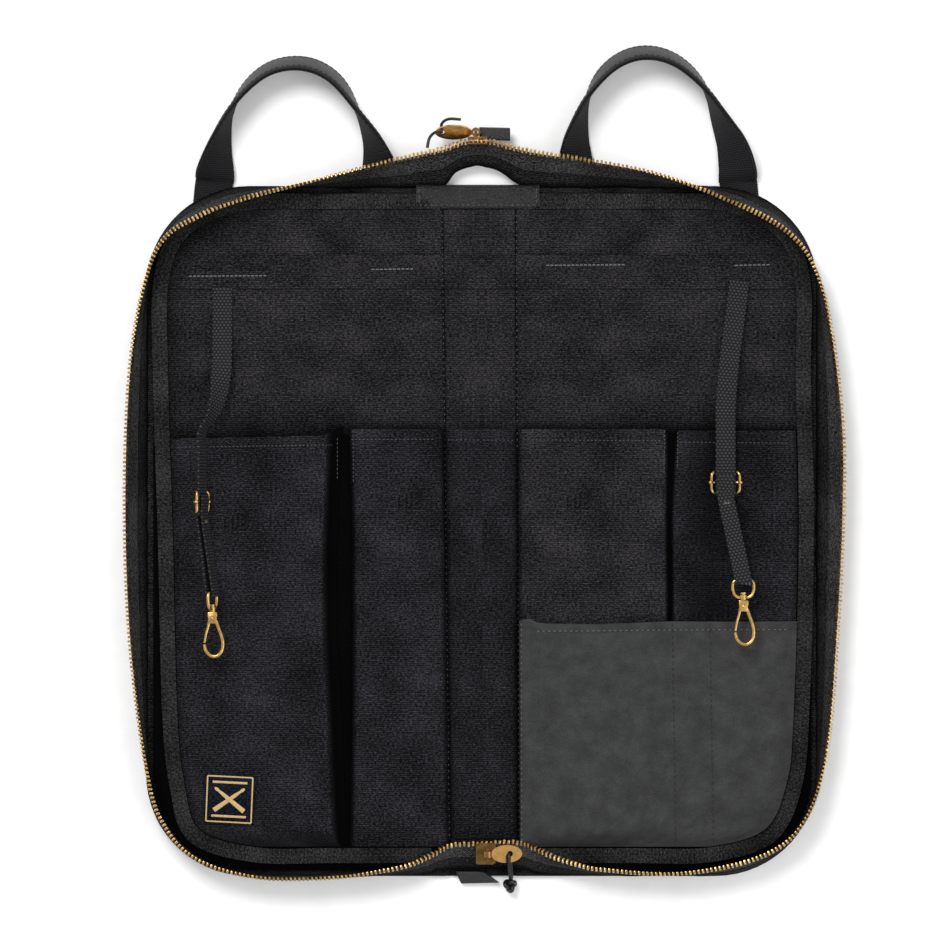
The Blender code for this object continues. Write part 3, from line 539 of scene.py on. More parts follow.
def drape(points, trees, lift):
    """The points set down on the highest of some surfaces."""
    laid = []
    for x, y in np.asarray(points, float)[:, :2]:
        heights = [tree.ray_cast(Vector((x, y, 90)), Vector((0, 0, -1)))[0] for tree in trees]
        heights = [h.z for h in heights if h is not None]
        laid.append((x, y, (max(heights) if heights else 7.0) + lift))
    return np.array(laid)


def stitch_shape(a, b, width):
    """One thread lying between two holes: it rises from the first and sinks into the second."""
    along = unit(b - a)
    flat = unit(np.cross(along, (0.02, 0.03, 1.0)))
    up = np.cross(flat, along)
    points = [a - up * width * 0.7, b - up * width * 0.7]
    for share in (0.12, 0.5, 0.88):
        middle = a + (b - a) * share + up * width * (0.1 if share == 0.5 else -0.08)
        for turn in range(5):
            angle = 2 * math.pi * turn / 5
            points.append(middle + width * (0.55 * math.cos(angle) * flat + 0.5 * math.sin(angle) * up))
    faces = []
    for i in range(5):
        k = (i + 1) % 5
        faces += [(0, 2 + i, 2 + k), (1, 12 + k, 12 + i)]
        faces += [(2 + i, 7 + i, 7 + k, 2 + k), (7 + i, 12 + i, 12 + k, 7 + k)]
    return np.array(points), faces


def stitched(name, lines, mat, length, gap, width):
    """Stitches along one or more lines of points."""
    shapes = []
    for line in lines:
        line = np.asarray(line, float)
        total = np.linalg.norm(np.diff(line, axis=0), axis=1).sum()
        count = max(1, int(total / (length + gap)))
        fine = spaced(line, count * 8 + 1)
        span = int(round(8 * length / (length + gap)))
        for i in range(count):
            shapes.append(stitch_shape(fine[8 * i], fine[8 * i + span], width))
    return merged(name, shapes, mat)


def add_stitches(name, lines, body, slot, mat, length, gap, width):
    dress(stitched(name, lines, mat, length, gap, width), body, slot)


# ---- shell, lining and padding ----
def reach(y, inset):
    """How far a half panel extends from the middle at one height of the bag."""
    out, top, foot, r = PANEL_OUT - inset, PANEL_TOP - inset, PANEL_FOOT + inset, PANEL_CORNER - inset
    past = max(y - (top - r), (foot + r) - y, 0)
    return out - r + math.sqrt(max(r * r - past * past, 0))


# a panel's columns near the spine, and the lining's finer ones along its seams, pocket mouths and bar tacks
NEAR_COLUMNS = (0, 5, 10, 14, 17, 19, 21, 22.5, 23.5, 24.5, 26, 28, 31, 35, 40)
SEAM_COLUMNS = np.arange(20.1, 28.5, 0.7)
FINE_ROWS = np.concatenate([np.arange(58, 72, 1.3), np.arange(164, 182, 0.9)])


def panel_grid(side, inset, height, columns, rows, fine_y=(), fine_x=()):
    top, foot, r = PANEL_TOP - inset, PANEL_FOOT + inset, PANEL_CORNER - inset
    turn = np.radians(np.linspace(0, 90, 16))
    middle = np.unique(np.concatenate([np.linspace(foot + r, top - r, rows)[1:-1], fine_y]))
    ys = np.concatenate([foot + r - r * np.sin(turn)[::-1], middle, top - r + r * np.sin(turn)])
    near = np.unique(np.concatenate([NEAR_COLUMNS, fine_x]))
    grid = []
    for y in ys:
        xs = np.concatenate([near, np.linspace(NEAR_COLUMNS[-1], reach(y, inset), columns)[1:]])
        grid.append([(side * x, y, height(side * x, y)) for x in xs])
    return np.array(grid)


def seam_x(side, y):
    """The seam between the spine's lining and a half's leans a little."""
    return side * float(np.interp(y, (-208, 214), (21.2, 26.3) if side < 0 else (24.4, 22.5)))


def lining_height(x, y):
    """The lining dips at the spine's seams and puckers above each bar tack."""
    side = -1 if x < 0 else 1
    off = side * (x - seam_x(side, y))
    base = float(np.interp(off, (-4, -1.2, 0, 1.2, 4), (4.5, 5.0, 4.6, 5.7, 6.0)))
    crease = wander(0.8 * (x + y), 0.22 * (x - y), 16, 3.1) * 0.4 + wander(x, y, 48, 9.2) * 0.5
    for x0, x1, tack in TACKS[side]:
        past, high = max(x0 - x, x - x1, 0), y - tack
        if abs(high) < 16 and past < 16:
            pucker = math.exp(-((high - 6) / 4) ** 2) - math.exp(-(high / 1.8) ** 2)
            base += 0.9 * pucker * math.exp(-(past / 5) ** 2)
    return base + crease * min(1.0, 0.35 + abs(off) / 20)


def shell_height(x, y):
    deep = float(np.interp(abs(x), (21, 25), (0.0, 1.55)))
    return deep + 0.12 * (1 + wander(x, y, 60, 5.5))


def wadding_height(x, y):
    return float(np.interp(abs(x), (24, 32), (3.6, 5.0)))


def lining_shade(x, y):
    """How deep in painted shade the lining is: over the pockets' mouths, by the binding, seams and bar
    tacks.
    """
    side = -1 if x < 0 else 1
    mouth = POCKET_TOP if x > -102 else 60
    shade_here = 0.8 * math.exp(-max(0.0, y - mouth) / (10 if x < -85 else 6)) if y > mouth - 4 else 1.0
    if abs(x) < 24:
        shade_here *= 0.5
    edge = reach(y, LINING_INSET + 9) - abs(x)
    shade_here = max(shade_here, (0.75 if x < 0 else 0.4) * math.exp(-max(0.0, edge) / 9))
    shade_here = max(shade_here, 0.85 * math.exp(-((side * (x - seam_x(side, y)) + 0.2) / 0.9) ** 2))
    for x0, x1, tack in TACKS[side]:
        past = max(x0 - x, x - x1, 0)
        high = y - tack
        if -1 < high < 14 and past < 14:
            fade = (high / 3.4) ** 2 if high > 0 else high * high
            shade_here = max(shade_here, 0.9 * math.exp(-fade - (past / 4) ** 2))
    return shade_here


def make_panels():
    trees = {}
    for side, name in SIDES:
        rows = panel_grid(side, 0.0, shell_height, 26, 40)
        shell = sheet(f"{name}_shell", rows, 1.2, CANVAS, top_is_up=False)
        dress(shell, name, "canvas", f"{name}_outer_panel", f"{name}_fold", *shared(side, "spine_outer"))

        rows = panel_grid(side, LINING_INSET, lining_height, 64, 96, FINE_ROWS, SEAM_COLUMNS)
        # painted shade on the lining's colour, from lining_shade
        deep = [[lining_shade(x, y) for x, y, z in row] for row in rows]
        lining = sheet(f"{name}_lining_cloth", rows, 0.8, LINING, deep=deep)
        dress(lining, name, "lining", f"{name}_lining", *shared(side, "spine_lining"))
        trees[side] = tree_of(lining)

        rows = panel_grid(side, LINING_INSET + 1.5, wadding_height, 24, 40)
        pad = sheet(f"{name}_wadding", rows, 1.7, FOAM)
        dress(pad, name, "foam", f"{name}_padding")
    return trees


# ---- zipped walls ----
def wall_paths(side):
    """The foot and the zip line of a half's wall, in step with each other, from the top middle round."""
    chain = [(x, y, ZIP_Z) for x, y in ZIP_LINE[side]]
    top = [smooth(TOP_BRIDGE[side], 34), smooth(chain, 190)[1:], smooth(LOW_BRIDGE[side][::-1], 34)[1:]]
    return wall_foot(side) * (side, 1, 1), np.vstack(top) * (side, 1, 1)


def wall_foot(side):
    inset, steps = 1.4, 12
    out, high, low, r = PANEL_OUT - inset, PANEL_TOP - inset, PANEL_FOOT + inset, PANEL_CORNER - inset
    line = [(60, high)]
    for centre, first in ((high - r, 90), (low + r, 0)):
        for i in range(steps + 1):
            a = math.radians(first - 90 * i / steps)
            line.append((out - r + r * math.cos(a), centre + r * math.sin(a)))
    line.append((60, low))
    around = np.array([(x, y, WALL_FOOT_Z) for x, y in spaced(line, 190)])
    start = smooth(TOP_FOOT[side], 34)
    end = smooth(LOW_FOOT[::-1], 34)
    return np.vstack([start, around[1:], end[1:]])


def wall_cloth(name, foot, top, low, high, steps, thick, mat, ripple, shadow=0.0):
    """The strip of the wall between two shares of its height, with painted shade near its foot."""
    length = np.r_[0, np.cumsum(np.linalg.norm(np.diff(top, axis=0), axis=1))]
    out = unit(np.cross(top - foot, unit(np.gradient(foot, axis=0))))
    shares = np.linspace(low, high, steps)
    rows = []
    for share in shares:
        push = [wander(s, 30 * share, 17, 2.2) + 0.5 * wander(s, 50 * share, 7, 7.1) for s in length]
        rows.append(foot + (top - foot) * share + out * ripple * np.array(push)[:, None])
    # painted shade, darkest at the wall's foot and fading upwards
    deep = np.repeat((shadow * np.exp(-(shares / 0.16) ** 2))[:, None], len(foot), axis=1)
    return sheet(name, rows, thick, mat, deep=deep)


def make_walls():
    for side, name in SIDES:
        foot, top = wall_paths(side)
        # the wall's canvas gets painted shade at its foot; the tape gets none
        wall = wall_cloth(f"{name}_wall", foot, top, 0.0, 0.5, 12, 1.1, CANVAS, 0.8, 1.0)
        tape = wall_cloth(f"{name}_tape", foot, top, 0.46, 0.93, 7, 0.8, TAPE, 0.25)
        bead = sweep(f"{name}_tape_bead", foot + (top - foot) * 0.94, (0, 0.3, 1), disc(0.95, 8), TAPE)
        teeth = merged(f"{name}_teeth", tooth_row(foot, top, side), TEETH)
        line = foot + (top - foot) * 0.485 + (0, 0, 0.9)
        seam = stitched(f"{name}_wall_stitching", [line], DARK_THREAD, 2.4, 1.0, 0.5)
        tapes = shared(side, "top_bridge_tape", "bottom_bridge_tape")
        chains = shared(side, "top_bridge_chain", "bottom_bridge_chain")
        for piece, slot, nodes in ((wall, "canvas", [f"{name}_gusset"]),
                                   (tape, "zip_tape", [f"{name}_zip_tape", *tapes]),
                                   (bead, "zip_tape", []), (teeth, "brass", [f"{name}_zip_chain", *chains]),
                                   (seam, "canvas", [])):
            over_fold(piece)
            dress(piece, None, slot, *nodes)


def tooth_row(foot, top, side):
    total = np.linalg.norm(np.diff(top, axis=0), axis=1).sum()
    count = int(total / TOOTH_PITCH)
    both = spaced(np.hstack([top, foot]), count)
    high, low = both[:, :3], both[:, 3:]
    along = unit(np.gradient(high, axis=0))
    rise = unit(high - low)
    across = unit(np.cross(along, rise))
    points, faces = rounded_box((1.5, 3.6, 2.5), 0.45)
    shapes = []
    for i in range(count):
        if side > 0 and abs(high[i, 0]) < TOOTH_PITCH / 2:
            continue
        at = high[i] + rise[i] * (0.5 * (i % 2) - 0.2)
        shapes.append((at + np.array(points) @ np.stack([along[i], rise[i], across[i]]), faces))
    return shapes


# ---- binding ----
def binding_line(side):
    foot = 206.5 if side < 0 else 211.5
    line = [(33.3, 216.5), (100, 216.5), (160, 215), (197, 198), (212, 165), (212.5, 100),
            (foot + 3, 0), (foot, -120), (foot - 5, -170), (190, -203), (150, -215.5), (100, -216),
            (33.3, -216)]
    return smooth([(side * x, y) for x, y in line], 220)


def make_binding():
    ridge = [(-5, -0.6), (-4.7, 0.25), (-3.9, 0.85), (-2.4, 1.0), (-1.0, 0.7), (-0.3, 0.3), (0.4, 0.3),
             (1.1, 0.8), (2.6, 1.15), (4.0, 0.95), (4.8, 0.3), (5, -0.6)]
    for side, name in SIDES:
        line = binding_line(side)
        z = [6.75 + 0.12 * wander(x, y, 9, 4.4) for x, y in line]
        path = np.hstack([line, np.array(z)[:, None]])
        across = unit(np.stack([np.gradient(line[:, 1]), -np.gradient(line[:, 0]), 0 * line[:, 0]], 1))
        profile = [[(a * (1 + 0.03 * wander(x, y, 5, 1)), b + (b > 0) * 0.14 * wander(x, y + 40, 4, a))
                    for a, b in ridge] for x, y in line]
        band = sweep(f"{name}_binding_band", path, across, profile, BINDING)
        dress(band, f"{name}_half", "binding", f"{name}_binding")
        rows = [path + across * 0.05 + (0, 0, 0.5)]
        add_stitches(f"{name}_binding_stitching", rows, f"{name}_half", "binding", DARK_THREAD, 2.3, 1.5,
                     0.6)


# ---- pockets ----
def pocket_side(side, gap):
    """A pocket's outer edge, (Y, X), along the binding."""
    line = binding_line(side)
    out = unit(np.stack([-np.gradient(line[:, 1]), np.gradient(line[:, 0])], 1)) * side
    line = line - out * (5 + gap)
    return [(y, x) for x, y in line if POCKET_FOOT - 1 < y < 75 and abs(x) > 120]


def soft_profile(across, count):
    """Shares of a pocket's width and the heights there, with its corners rounded off."""
    fine = spaced(across, 400)
    keep = np.interp(fine[:, 0], *np.array(across, float).T)
    window = np.hanning(19) / np.hanning(19).sum()
    smoothed = np.convolve(np.pad(keep, 9, mode="edge"), window, "valid")
    shares = np.linspace(0, 1, count)
    return shares, np.interp(shares, fine[:, 0], smoothed)


def pocket_grid(left, right, low, top, across, seed, sewn=7.1, columns=70, crease=0.3, hem=7.2):
    """Points of a pocket front, like CAD's sheet but finer, with soft creases and a turned hem.

    top is a number, or a list of (share, y) where the edge is uneven.
    """
    shares, heights = soft_profile(across, columns)
    tops = np.interp(shares, *np.array(top).T) if isinstance(top, list) else np.full(columns, float(top))
    steps = np.concatenate([np.linspace(*stretch) for stretch in ((0, 0.06, 8), (0.06, 0.93, 70),
                                                                  (0.93, 1, 26))])
    steps = np.unique(steps)
    grid = []
    for step in steps:
        ys = low + (tops - low) * step
        x0 = np.interp(ys, *np.array(sorted(left), float).T)
        x1 = np.interp(ys, *np.array(sorted(right), float).T)
        xs = x0 + (x1 - x0) * shares
        lift = np.sin(np.minimum(1, (ys - low) / POCKET_RISE) * math.pi / 2)
        z = sewn + (heights - sewn) * lift
        for k, (x, y) in enumerate(zip(xs, ys)):
            fold = wander(0.9 * x + 0.35 * y, 0.3 * y - 0.1 * x, 13, seed) + 0.6 * wander(x, y, 34, seed + 5)
            z[k] += crease * fold * lift[k]
            below = tops[k] - y
            turned = 0.5 * min(1, max(0, (hem + 0.5 - below) / 0.8))
            z[k] += turned - 0.35 * math.exp(-((below - hem) / 0.7) ** 2)
            z[k] -= 0.5 * math.exp(-(below / 0.45) ** 2)
        grid.append(np.stack([xs, ys, z], 1))
    return np.array(grid)


def pocket(name, body, nodes, grid, mat, dark=(), thick=0.8, slot="lining"):
    """dark lists (share, depth) of the painted shade that the front runs into across its width."""
    # painted shade across the front, the same all the way down it
    deep = None
    if len(dark):
        deep = np.tile(np.interp(np.linspace(0, 1, grid.shape[1]), *np.array(dark).T), (len(grid), 1))
    made = sheet(name, grid, thick, mat, deep=deep)
    dress(made, body, slot, *nodes)
    return tree_of(made)


# the bellows pocket's height across its width: share, Z
BELLOWS = [(0, 7.1), (0.17, 9.1), (0.4, 11.2), (0.63, 15.5), (0.86, 20.4), (0.9, 21.6), (0.915, 21.6),
           (0.93, 19), (0.95, 9.5), (1, 7.1)]


def make_pockets():
    """The cloth fronts from left to right; each comes back as a surface to sew on."""
    trees = {}

    def front(name, body, nodes, grid, mat, flat, rests, dark):
        trees[name] = pocket(name, body, nodes, grid, mat, dark)

    # each front's dark table is painted shade at its edges, where the cloth runs down into the gap beside
    # the next front
    right = [(-211, -89.5), (-180, -90.5), (-117, -93), (-65, -96), (-15, -96), (22, -94.5), (70, -92.0)]
    top = [(0, 59.6), (0.88, 61.4), (0.94, 63.5), (1, 68.4)]
    dark = [(0, 0.5), (0.05, 0), (0.905, 0), (0.93, 0.5), (0.945, 1), (1, 1)]
    grid = pocket_grid(pocket_side(-1, 0.5), right, POCKET_FOOT, top, BELLOWS, columns=120, seed=2.0)
    front("left_stick_front", "left_half", ["left_stick_pocket"], grid, POCKET, (0.128, 0.286),
          "left_lining_cloth", dark)

    left = [(-211, -87.6), (-100, -86), (0, -86), (POCKET_TOP, -88.5)]
    right = [(-211, -22.2), (POCKET_TOP, -25.5)]
    across = [(0, 7.1), (0.03, 9.6), (0.08, 11.2), (0.14, 11.4), (0.9, 11.4), (0.97, 9.5), (1, 7.1)]
    dark = [(0, 1), (0.03, 0.7), (0.06, 0), (0.95, 0), (1, 0.8)]
    grid = pocket_grid(left, right, POCKET_FOOT, POCKET_TOP, across, seed=3.0)
    front("left_centre_front", "left", ["left_centre_pocket"], grid, POCKET, (0.068, 0.29),
          "left_lining_cloth", dark)

    # the spine's front is two pieces that meet at the middle
    middle = [(SPINE_POCKET_FOOT, 1.6), (POCKET_TOP, -0.6)]
    outer = {-1: [(SPINE_POCKET_FOOT, -20.8), (POCKET_TOP, -24.6)],
             1: [(SPINE_POCKET_FOOT, 24.0), (POCKET_TOP, 23.4)]}
    across = np.array([(0, 5.6), (0.12, 7.2), (0.4, 8.9), (1, 9.7)])
    dark = np.array([(0, 0.9), (0.12, 0.2), (0.4, 0), (1, 0)])
    for side, name in SIDES:
        left, right = (outer[side], middle) if side < 0 else (middle, outer[side])
        grid = pocket_grid(left, right, SPINE_POCKET_FOOT, POCKET_TOP, across, sewn=5.3, columns=24,
                           seed=4.0)
        nodes = ["spine_pocket"] if side < 0 else []
        front(f"spine_front_{name}", name, nodes, grid, SHADED_SPINE_CLOTH, (0.026, 0.285), "right_lining_cloth",
              dark)
        across, dark = (rows[::-1] * (-1, 1) + (1, 0) for rows in (across, dark))

    left, right = [(-211, 24.6), (POCKET_TOP, 24.0)], [(-211, 125), (0, 123), (POCKET_TOP, 123.2)]
    across = [(0, 7.1), (0.02, 9.5), (0.06, 11.4), (0.95, 11.4), (0.985, 10.6), (1, 7.1)]
    dark = [(0, 0.8), (0.03, 0), (0.975, 0), (0.99, 1), (1, 1)]
    grid = pocket_grid(left, right, POCKET_FOOT, POCKET_TOP, across, seed=5.0)
    front("right_centre_front", "right", ["right_centre_pocket"], grid, LINING, (0.101, 0.29),
          "right_lining_cloth", dark)

    left = [(-211, 126.5), (10, 124.8), (40, 126.3), (65, 128.4)]
    across = [(0, 7.1), (0.008, 10.0), (0.03, 10.5), (0.1, 10.6), (0.68, 10.6), (0.84, 9.0), (1, 7.1)]
    # the right stick front also gets painted shade over its left part, up to the strap
    dark = [(0, 1), (0.012, 0.8), (0.03, 0.1), (0.14, 0.5), (0.3, 0.7), (0.45, 0.5), (0.7, 0.1), (0.95, 0),
            (1, 0.6)]
    grid = pocket_grid(left, pocket_side(1, 0.8), POCKET_FOOT, 65, across, seed=6.0)
    front("right_stick_front", "right_half", ["right_stick_pocket"], grid, POCKET, (0.08, 0.286),
          "right_lining_cloth", dark)

    # a dark strip in the gap between the right centre and stick fronts: the pleat's cloth painted fully in
    # shade
    rows = [[(x, y, 6.9 + 0.1 * wander(x, y, 8)) for x in np.linspace(120, 130.6,
                                                                      6)] for y in np.linspace(-209, 64, 60)]
    pleat_shade = sheet("right_pleat_painted_shade", rows, 0.3, POCKET, deep=np.ones((60, 6)))
    dress(pleat_shade, "right_half", "lining")
    return trees


def make_leather_pocket():
    """The nubuck front lies over both right-hand fronts and bulges where something small is kept."""
    across = [(0, 8.8), (0.006, 12.2), (0.02, 13.0), (0.045, 13.0), (0.062, 12.2), (0.075, 13.6),
              (0.11, 14.6), (0.22, 17.6), (0.34, 18.6), (0.46, 17.0), (0.53, 14.1),
              (0.55, 13.6), (0.61, 13.4), (0.67, 12.7), (0.69, 12.4), (0.8, 12.2), (0.93, 12.0), (1, 9.4)]
    top = [(0, -60.6), (0.015, -59.6), (0.035, -59.0), (0.06, -61.4), (0.09, -62.4), (0.28, -62.6),
           (0.4, -61.8),
           (0.54, -60.9), (0.75, -61.2), (1, -61.0)]
    grid = pocket_grid([(-211, 25.2), (-59, 24.6)], pocket_side(1, 0.5), POCKET_FOOT, top, across, sewn=8.6,
                       columns=130, crease=0.16, hem=5.6, seed=8.0)
    return pocket("leather_front", "right", ["right_leather_pocket"], grid, NUBUCK,
                  thick=1.2, slot="leather")


# ---- handles ----
def smooth_step(t):
    t = np.clip(t, 0, 1)
    return t * t * (3 - 2 * t)


def handle_course(side):
    """Path, lean and leather share along one handle, legs and all; it turns on its edge as it rises."""
    far, near = HANDLE_LEGS[side]
    first, last = spaced(far, 40), spaced(near, 40)
    flat = np.vstack([first, smooth(HANDLE_ARCH[side], 150), last])
    flat = np.stack([np.convolve(np.pad(c, 6, mode="edge"), np.ones(13) / 13, "valid") for c in flat.T], 1)
    turns = smooth(HANDLE_TURN[side], 80)
    tilt = np.radians(np.interp(flat[:, 1], turns[:, 0], turns[:, 1]))
    clad = smooth_step((flat[:, 1] - 229) / 8)
    lift = 12.5 * np.sin(tilt) + (0.7 + 1.9 * clad) * np.abs(np.cos(tilt)) + 0.1
    along = unit(np.gradient(flat, axis=0))
    out = np.stack([-along[:, 1], along[:, 0], 0 * along[:, 0]], 1)
    lean = out * np.cos(tilt)[:, None] + np.outer(np.sin(tilt), (0, 0, 1))
    return np.hstack([flat, lift[:, None]]), lean, clad


def web_profile(width):
    """A strap's cross-section with thick rounded selvedges."""
    w, t = width / 2, WEB_THICK / 2
    top = [(w, 0.5 * t), (w - 0.6, 1.1 * t), (w - 1.5, t), (0, t), (1.5 - w, t), (0.6 - w, 1.1 * t),
           (-w, 0.5 * t)]
    return [(-a, -b) for a, b in top] + top


def make_handles():
    """Webbing with a leather strip sewn to its outer face."""
    edge = [(12.7, -1.0), (12.9, -1.7), (12.5, -2.4), (11.6, -2.65), (10.9, -2.45), (10, -2.7)]
    outline = [*((-a, b) for a, b in edge), (0, -2.9), *edge[::-1], (0, -0.75)]
    for side, name in SIDES:
        path, lean, clad = handle_course(side)
        web = sweep(f"{name}_handle_strap", path, lean, web_profile(HANDLE_WIDTH), WEB)
        strip = clad > 0.02
        path, lean, clad = path[strip], lean[strip], clad[strip]
        up = np.cross(unit(np.gradient(path, axis=0)), lean)
        profile = []
        for k in range(len(path)):
            dents = [0.16 * wander(k / 3, 4 * a, 4, side) + 0.1 * wander(k, a * 3, 3, side + 4)
                     for a in range(len(outline))]
            profile.append([(a, b * (0.35 + 0.65 * clad[k]) + dent * (b < -1.5))
                            for (a, b), dent in zip(outline, dents)])
        strap = sweep(f"{name}_handle_leather", path, lean, profile, HANDLE_LEATHER)
        lines = [path[3:-3] + lean[3:-3] * k - up[3:-3] * 2.75 for k in (-10.9, 10.9)]
        seam = stitched(f"{name}_handle_stitching", lines, DARK_THREAD, 2.4, 1.3, 0.5)
        legs = [f"{name}_handle_leg_a", f"{name}_handle_leg_b"]
        for piece, slot, nodes in ((web, "webbing", [f"{name}_handle_web", *legs]),
                                   (strap, "leather", [f"{name}_handle_wrap"]), (seam, "leather", [])):
            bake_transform(piece)
            dress(piece, None, slot, *nodes)


# ---- straps and their hardware ----
def wire(path, radius, ring=False, side=(0, 0, 1)):
    return sweep_shape(path, side, disc(radius, 14), ring)


def ball(at, radius, squash=1.0):
    form = bmesh.new()
    bmesh.ops.create_uvsphere(form, u_segments=14, v_segments=9, radius=radius)
    form.verts.index_update()
    points = np.array([tuple(v.co) for v in form.verts]) * (1, 1, squash) + at
    faces = [tuple(v.index for v in f.verts) for f in form.faces]
    form.free()
    return points, faces


def rounded_path(width, height, corner, count):
    wide, high = width / 2 - corner, height / 2 - corner
    line = []
    for k, (x, y) in enumerate(((1, 1), (-1, 1), (-1, -1), (1, -1))):
        for a in np.radians(np.linspace(0, 90, 6) + 90 * k):
            line.append((x * wide + corner * math.cos(a), y * high + corner * math.sin(a), 0))
    return spaced(line + line[:1], count + 1)[:-1]


def brass_piece(name, shapes, place, body, node):
    dress(merged(name, [moved(shape, place) for shape in shapes], BRASS), body, "brass", node)


def make_straps():
    for side, name in SIDES:
        anchor, centre, hook_at = (np.array(at[side], float) for at in (STRAP_ANCHOR, SLIDE_AT, HOOK_AT))
        tilt = STRAP_TILT[side]
        straight = [centre + (0, y, 0) for y in (46, 36, 18, -8.9)]
        path = smooth([anchor, *STRAP_BENDS[side], *straight], 120)
        turn = tilt * np.clip((centre[1] + 92 - path[:, 1]) / 42, 0, 1)
        lean = np.stack([np.cos(turn), 0 * turn, -np.sin(turn)], 1)
        strap = sweep(f"{name}_strap", path, lean, web_profile(STRAP_WIDTH), STRAP)
        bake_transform(strap)
        dress(strap, None, "webbing", f"{name}_strap_web")

        tilted = Matrix.Rotation(tilt, 4, "Y")
        rim = rounded_path(18.6, 15.0, 3.6, 60)
        rise = smooth_step((np.abs(rim[:, 0]) - 6.6) / 2.4)
        rim = rim + np.outer(rise * 2.4 - 2.1, (0, 0, 1))
        bar = [(-10.2, 0, -0.6), (-6.6, 0, -2.0), (6.6, 0, -2.0), (10.2, 0, -0.6)]
        shapes = [wire(rim, 1.0, ring=True), wire(bar, 0.95), ball((-9.9, 0, 0.3), 1.5),
                  ball((9.9, 0, 0.3), 1.5)]
        place = Matrix.Translation(Vector(centre)) @ tilted
        brass_piece(f"{name}_slide_frame", shapes, place, f"{name}_slide", f"{name}_slide_buckle")

        make_loop(name, tilt, centre, hook_at + (0, 13, 0))
        place = Matrix.Translation(Vector(hook_at))
        make_hook(name, place @ tilted, place)


def make_loop(name, tilt, centre, eye):
    """Webbing from the slide down round the ring's eye and back, tacked together under the slide."""
    lean = np.array((math.cos(tilt), 0, -math.sin(tilt)))
    normal = np.array((math.sin(tilt), 0, math.cos(tilt)))
    start = centre - (0, 9.5, 0)
    middle = start + (eye - start) * 0.5
    bend = 2.25
    turns = [eye + normal * bend * math.cos(a) - np.array((0, bend * math.sin(a), 0))
             for a in np.radians(np.arange(0, 181, 30))]
    head = [centre + (0, 5.0, 0) + normal * 1.8, centre + normal * 2.2]
    down = [start + normal * 1.7, middle + normal * 1.9]
    back = [middle - normal * 1.9, start - normal * 1.9]
    path = spaced(smooth([*head, *down, *turns, *back], 180), 130)
    loop = sweep(f"{name}_loop", path, lean, web_profile(LOOP_WIDTH), STRAP)
    dress(loop, f"{name}_loop", "webbing", f"{name}_loop_web")
    across = np.array([middle * 0.14 + start * 0.86 + normal * 2.5 + lean * k for k in (-1.8, 2.2)])
    rows = [across + (0, y, 0) for y in (-0.5, 0.4)]
    add_stitches(f"{name}_loop_tack", rows, f"{name}_loop", "webbing", BEIGE_THREAD, 1.2, 0.3, 0.5)


def make_hook(name, ring_place, place):
    """The eye ring with its collar, then the swivel hook and its spring gate."""
    half, low, high = 6.9, 2.0, 13.0
    edge = [(3.0, low), (5.6, low + 1.8), (half, low + 5.2), (half, high - 2.4), (half - 0.7, high - 0.7),
            (half - 2.3, high)]
    line = smooth([(0, low), *edge, (0, high), *((-x, y) for x, y in edge[::-1]), (0, low)], 90)[:-1]
    collar = [(0, y, 0) for y in (0.5, 1.0, 3.2, 3.6)]
    shapes = [wire([(x, y, 0) for x, y in line], 1.2, ring=True), wire(collar, 2.5, side=(1, 0, 0))]
    brass_piece(f"{name}_swivel_ring", shapes, ring_place, f"{name}_ring", f"{name}_ring_eye")

    line = smooth([(2.4, -5.4), (4.4, -11), (6.2, -16), (6.9, -20.5), (6.3, -25), (4.0, -28), (1.2, -28.9),
                   (-1.7, -28), (-4.3, -25), (-5.3, -21.0)], 70)
    thick = np.interp(np.linspace(0, 1, 70), (0, 0.5, 0.95, 1), (1.35, 1.3, 1.3, 1.0))
    hook = sweep_shape([(x, y, 0) for x, y in line], (0, 0, 1), [disc(r, 14) for r in thick])
    block = moved(rounded_box((6.4, 3.4, 4.4), 0.7), Matrix.Translation((0.1, -1.5, 0)))
    cheeks = [moved(rounded_box((5.6, 6.0, 1.0), 0.4), Matrix.Translation((0.1, -4.2, z))) for z in (1.8,
                                                                                                     -1.8)]
    post = wire([(0, -1, 0), (0, 4.4, 0)], 0.95, side=(1, 0, 0))
    head = wire([(0, y, 0) for y in (4.0, 4.2, 5.1, 5.3)], 2.0, side=(1, 0, 0))
    rivet = [ball((0.1, -3.9, z), 1.15, 0.55) for z in (2.4, -2.4)]
    shapes = [hook, block, *cheeks, post, head, *rivet]
    brass_piece(f"{name}_snap_hook", shapes, place, f"{name}_hook", f"{name}_hook_body")

    line = smooth([(-1.9, -4.6, 0), (-2.7, -9, 0), (-4.2, -14.4, 0), (-5.2, -19.9, 0)], 20)
    gate = sweep_shape(line, (0, 0, 1), [disc(r, 12) for r in np.linspace(1.15, 0.85, 20)])
    brass_piece(f"{name}_snap_gate", [gate], place, f"{name}_gate", f"{name}_hook_gate")


# ---- zip ends ----
def leather_tab(name, outline, z, node):
    """A small leather end piece, domed a little and stitched round its edge."""
    ring = spaced([*outline, outline[0]], 65)[:-1]
    centre = ring.mean(axis=0)
    levels = [(1.0, 0.0), (1.03, 0.5), (1.0, 1.3), (0.94, 1.65), (0.75, 1.8), (0.4, 1.9), (0.05, 1.95)]
    points = [(*(centre + (p - centre) * scale), z + rise + 0.12 * wander(p[0], p[1], 3, rise))
              for scale, rise in levels for p in ring]
    n, last = len(ring), len(ring) * (len(levels) - 1)
    faces = [(k + i, k + (i + 1) % n, k + n + (i + 1) % n, k + n + i) for k in range(0, last,
                                                                                     n) for i in range(n)]
    faces += [tuple(range(n)), tuple(range(last, last + n))]
    tab = finish_mesh(name, points, faces, np.array(points)[:, :2], LEATHER)
    dress(tab, "spine", "leather", node)
    line = [(*(centre + (p - centre) * 0.84), z + 1.85) for p in np.vstack([ring, ring[:1]])]
    add_stitches(name + "_stitching", [line], "spine", "leather", THREAD, 1.5, 0.8, 0.42)


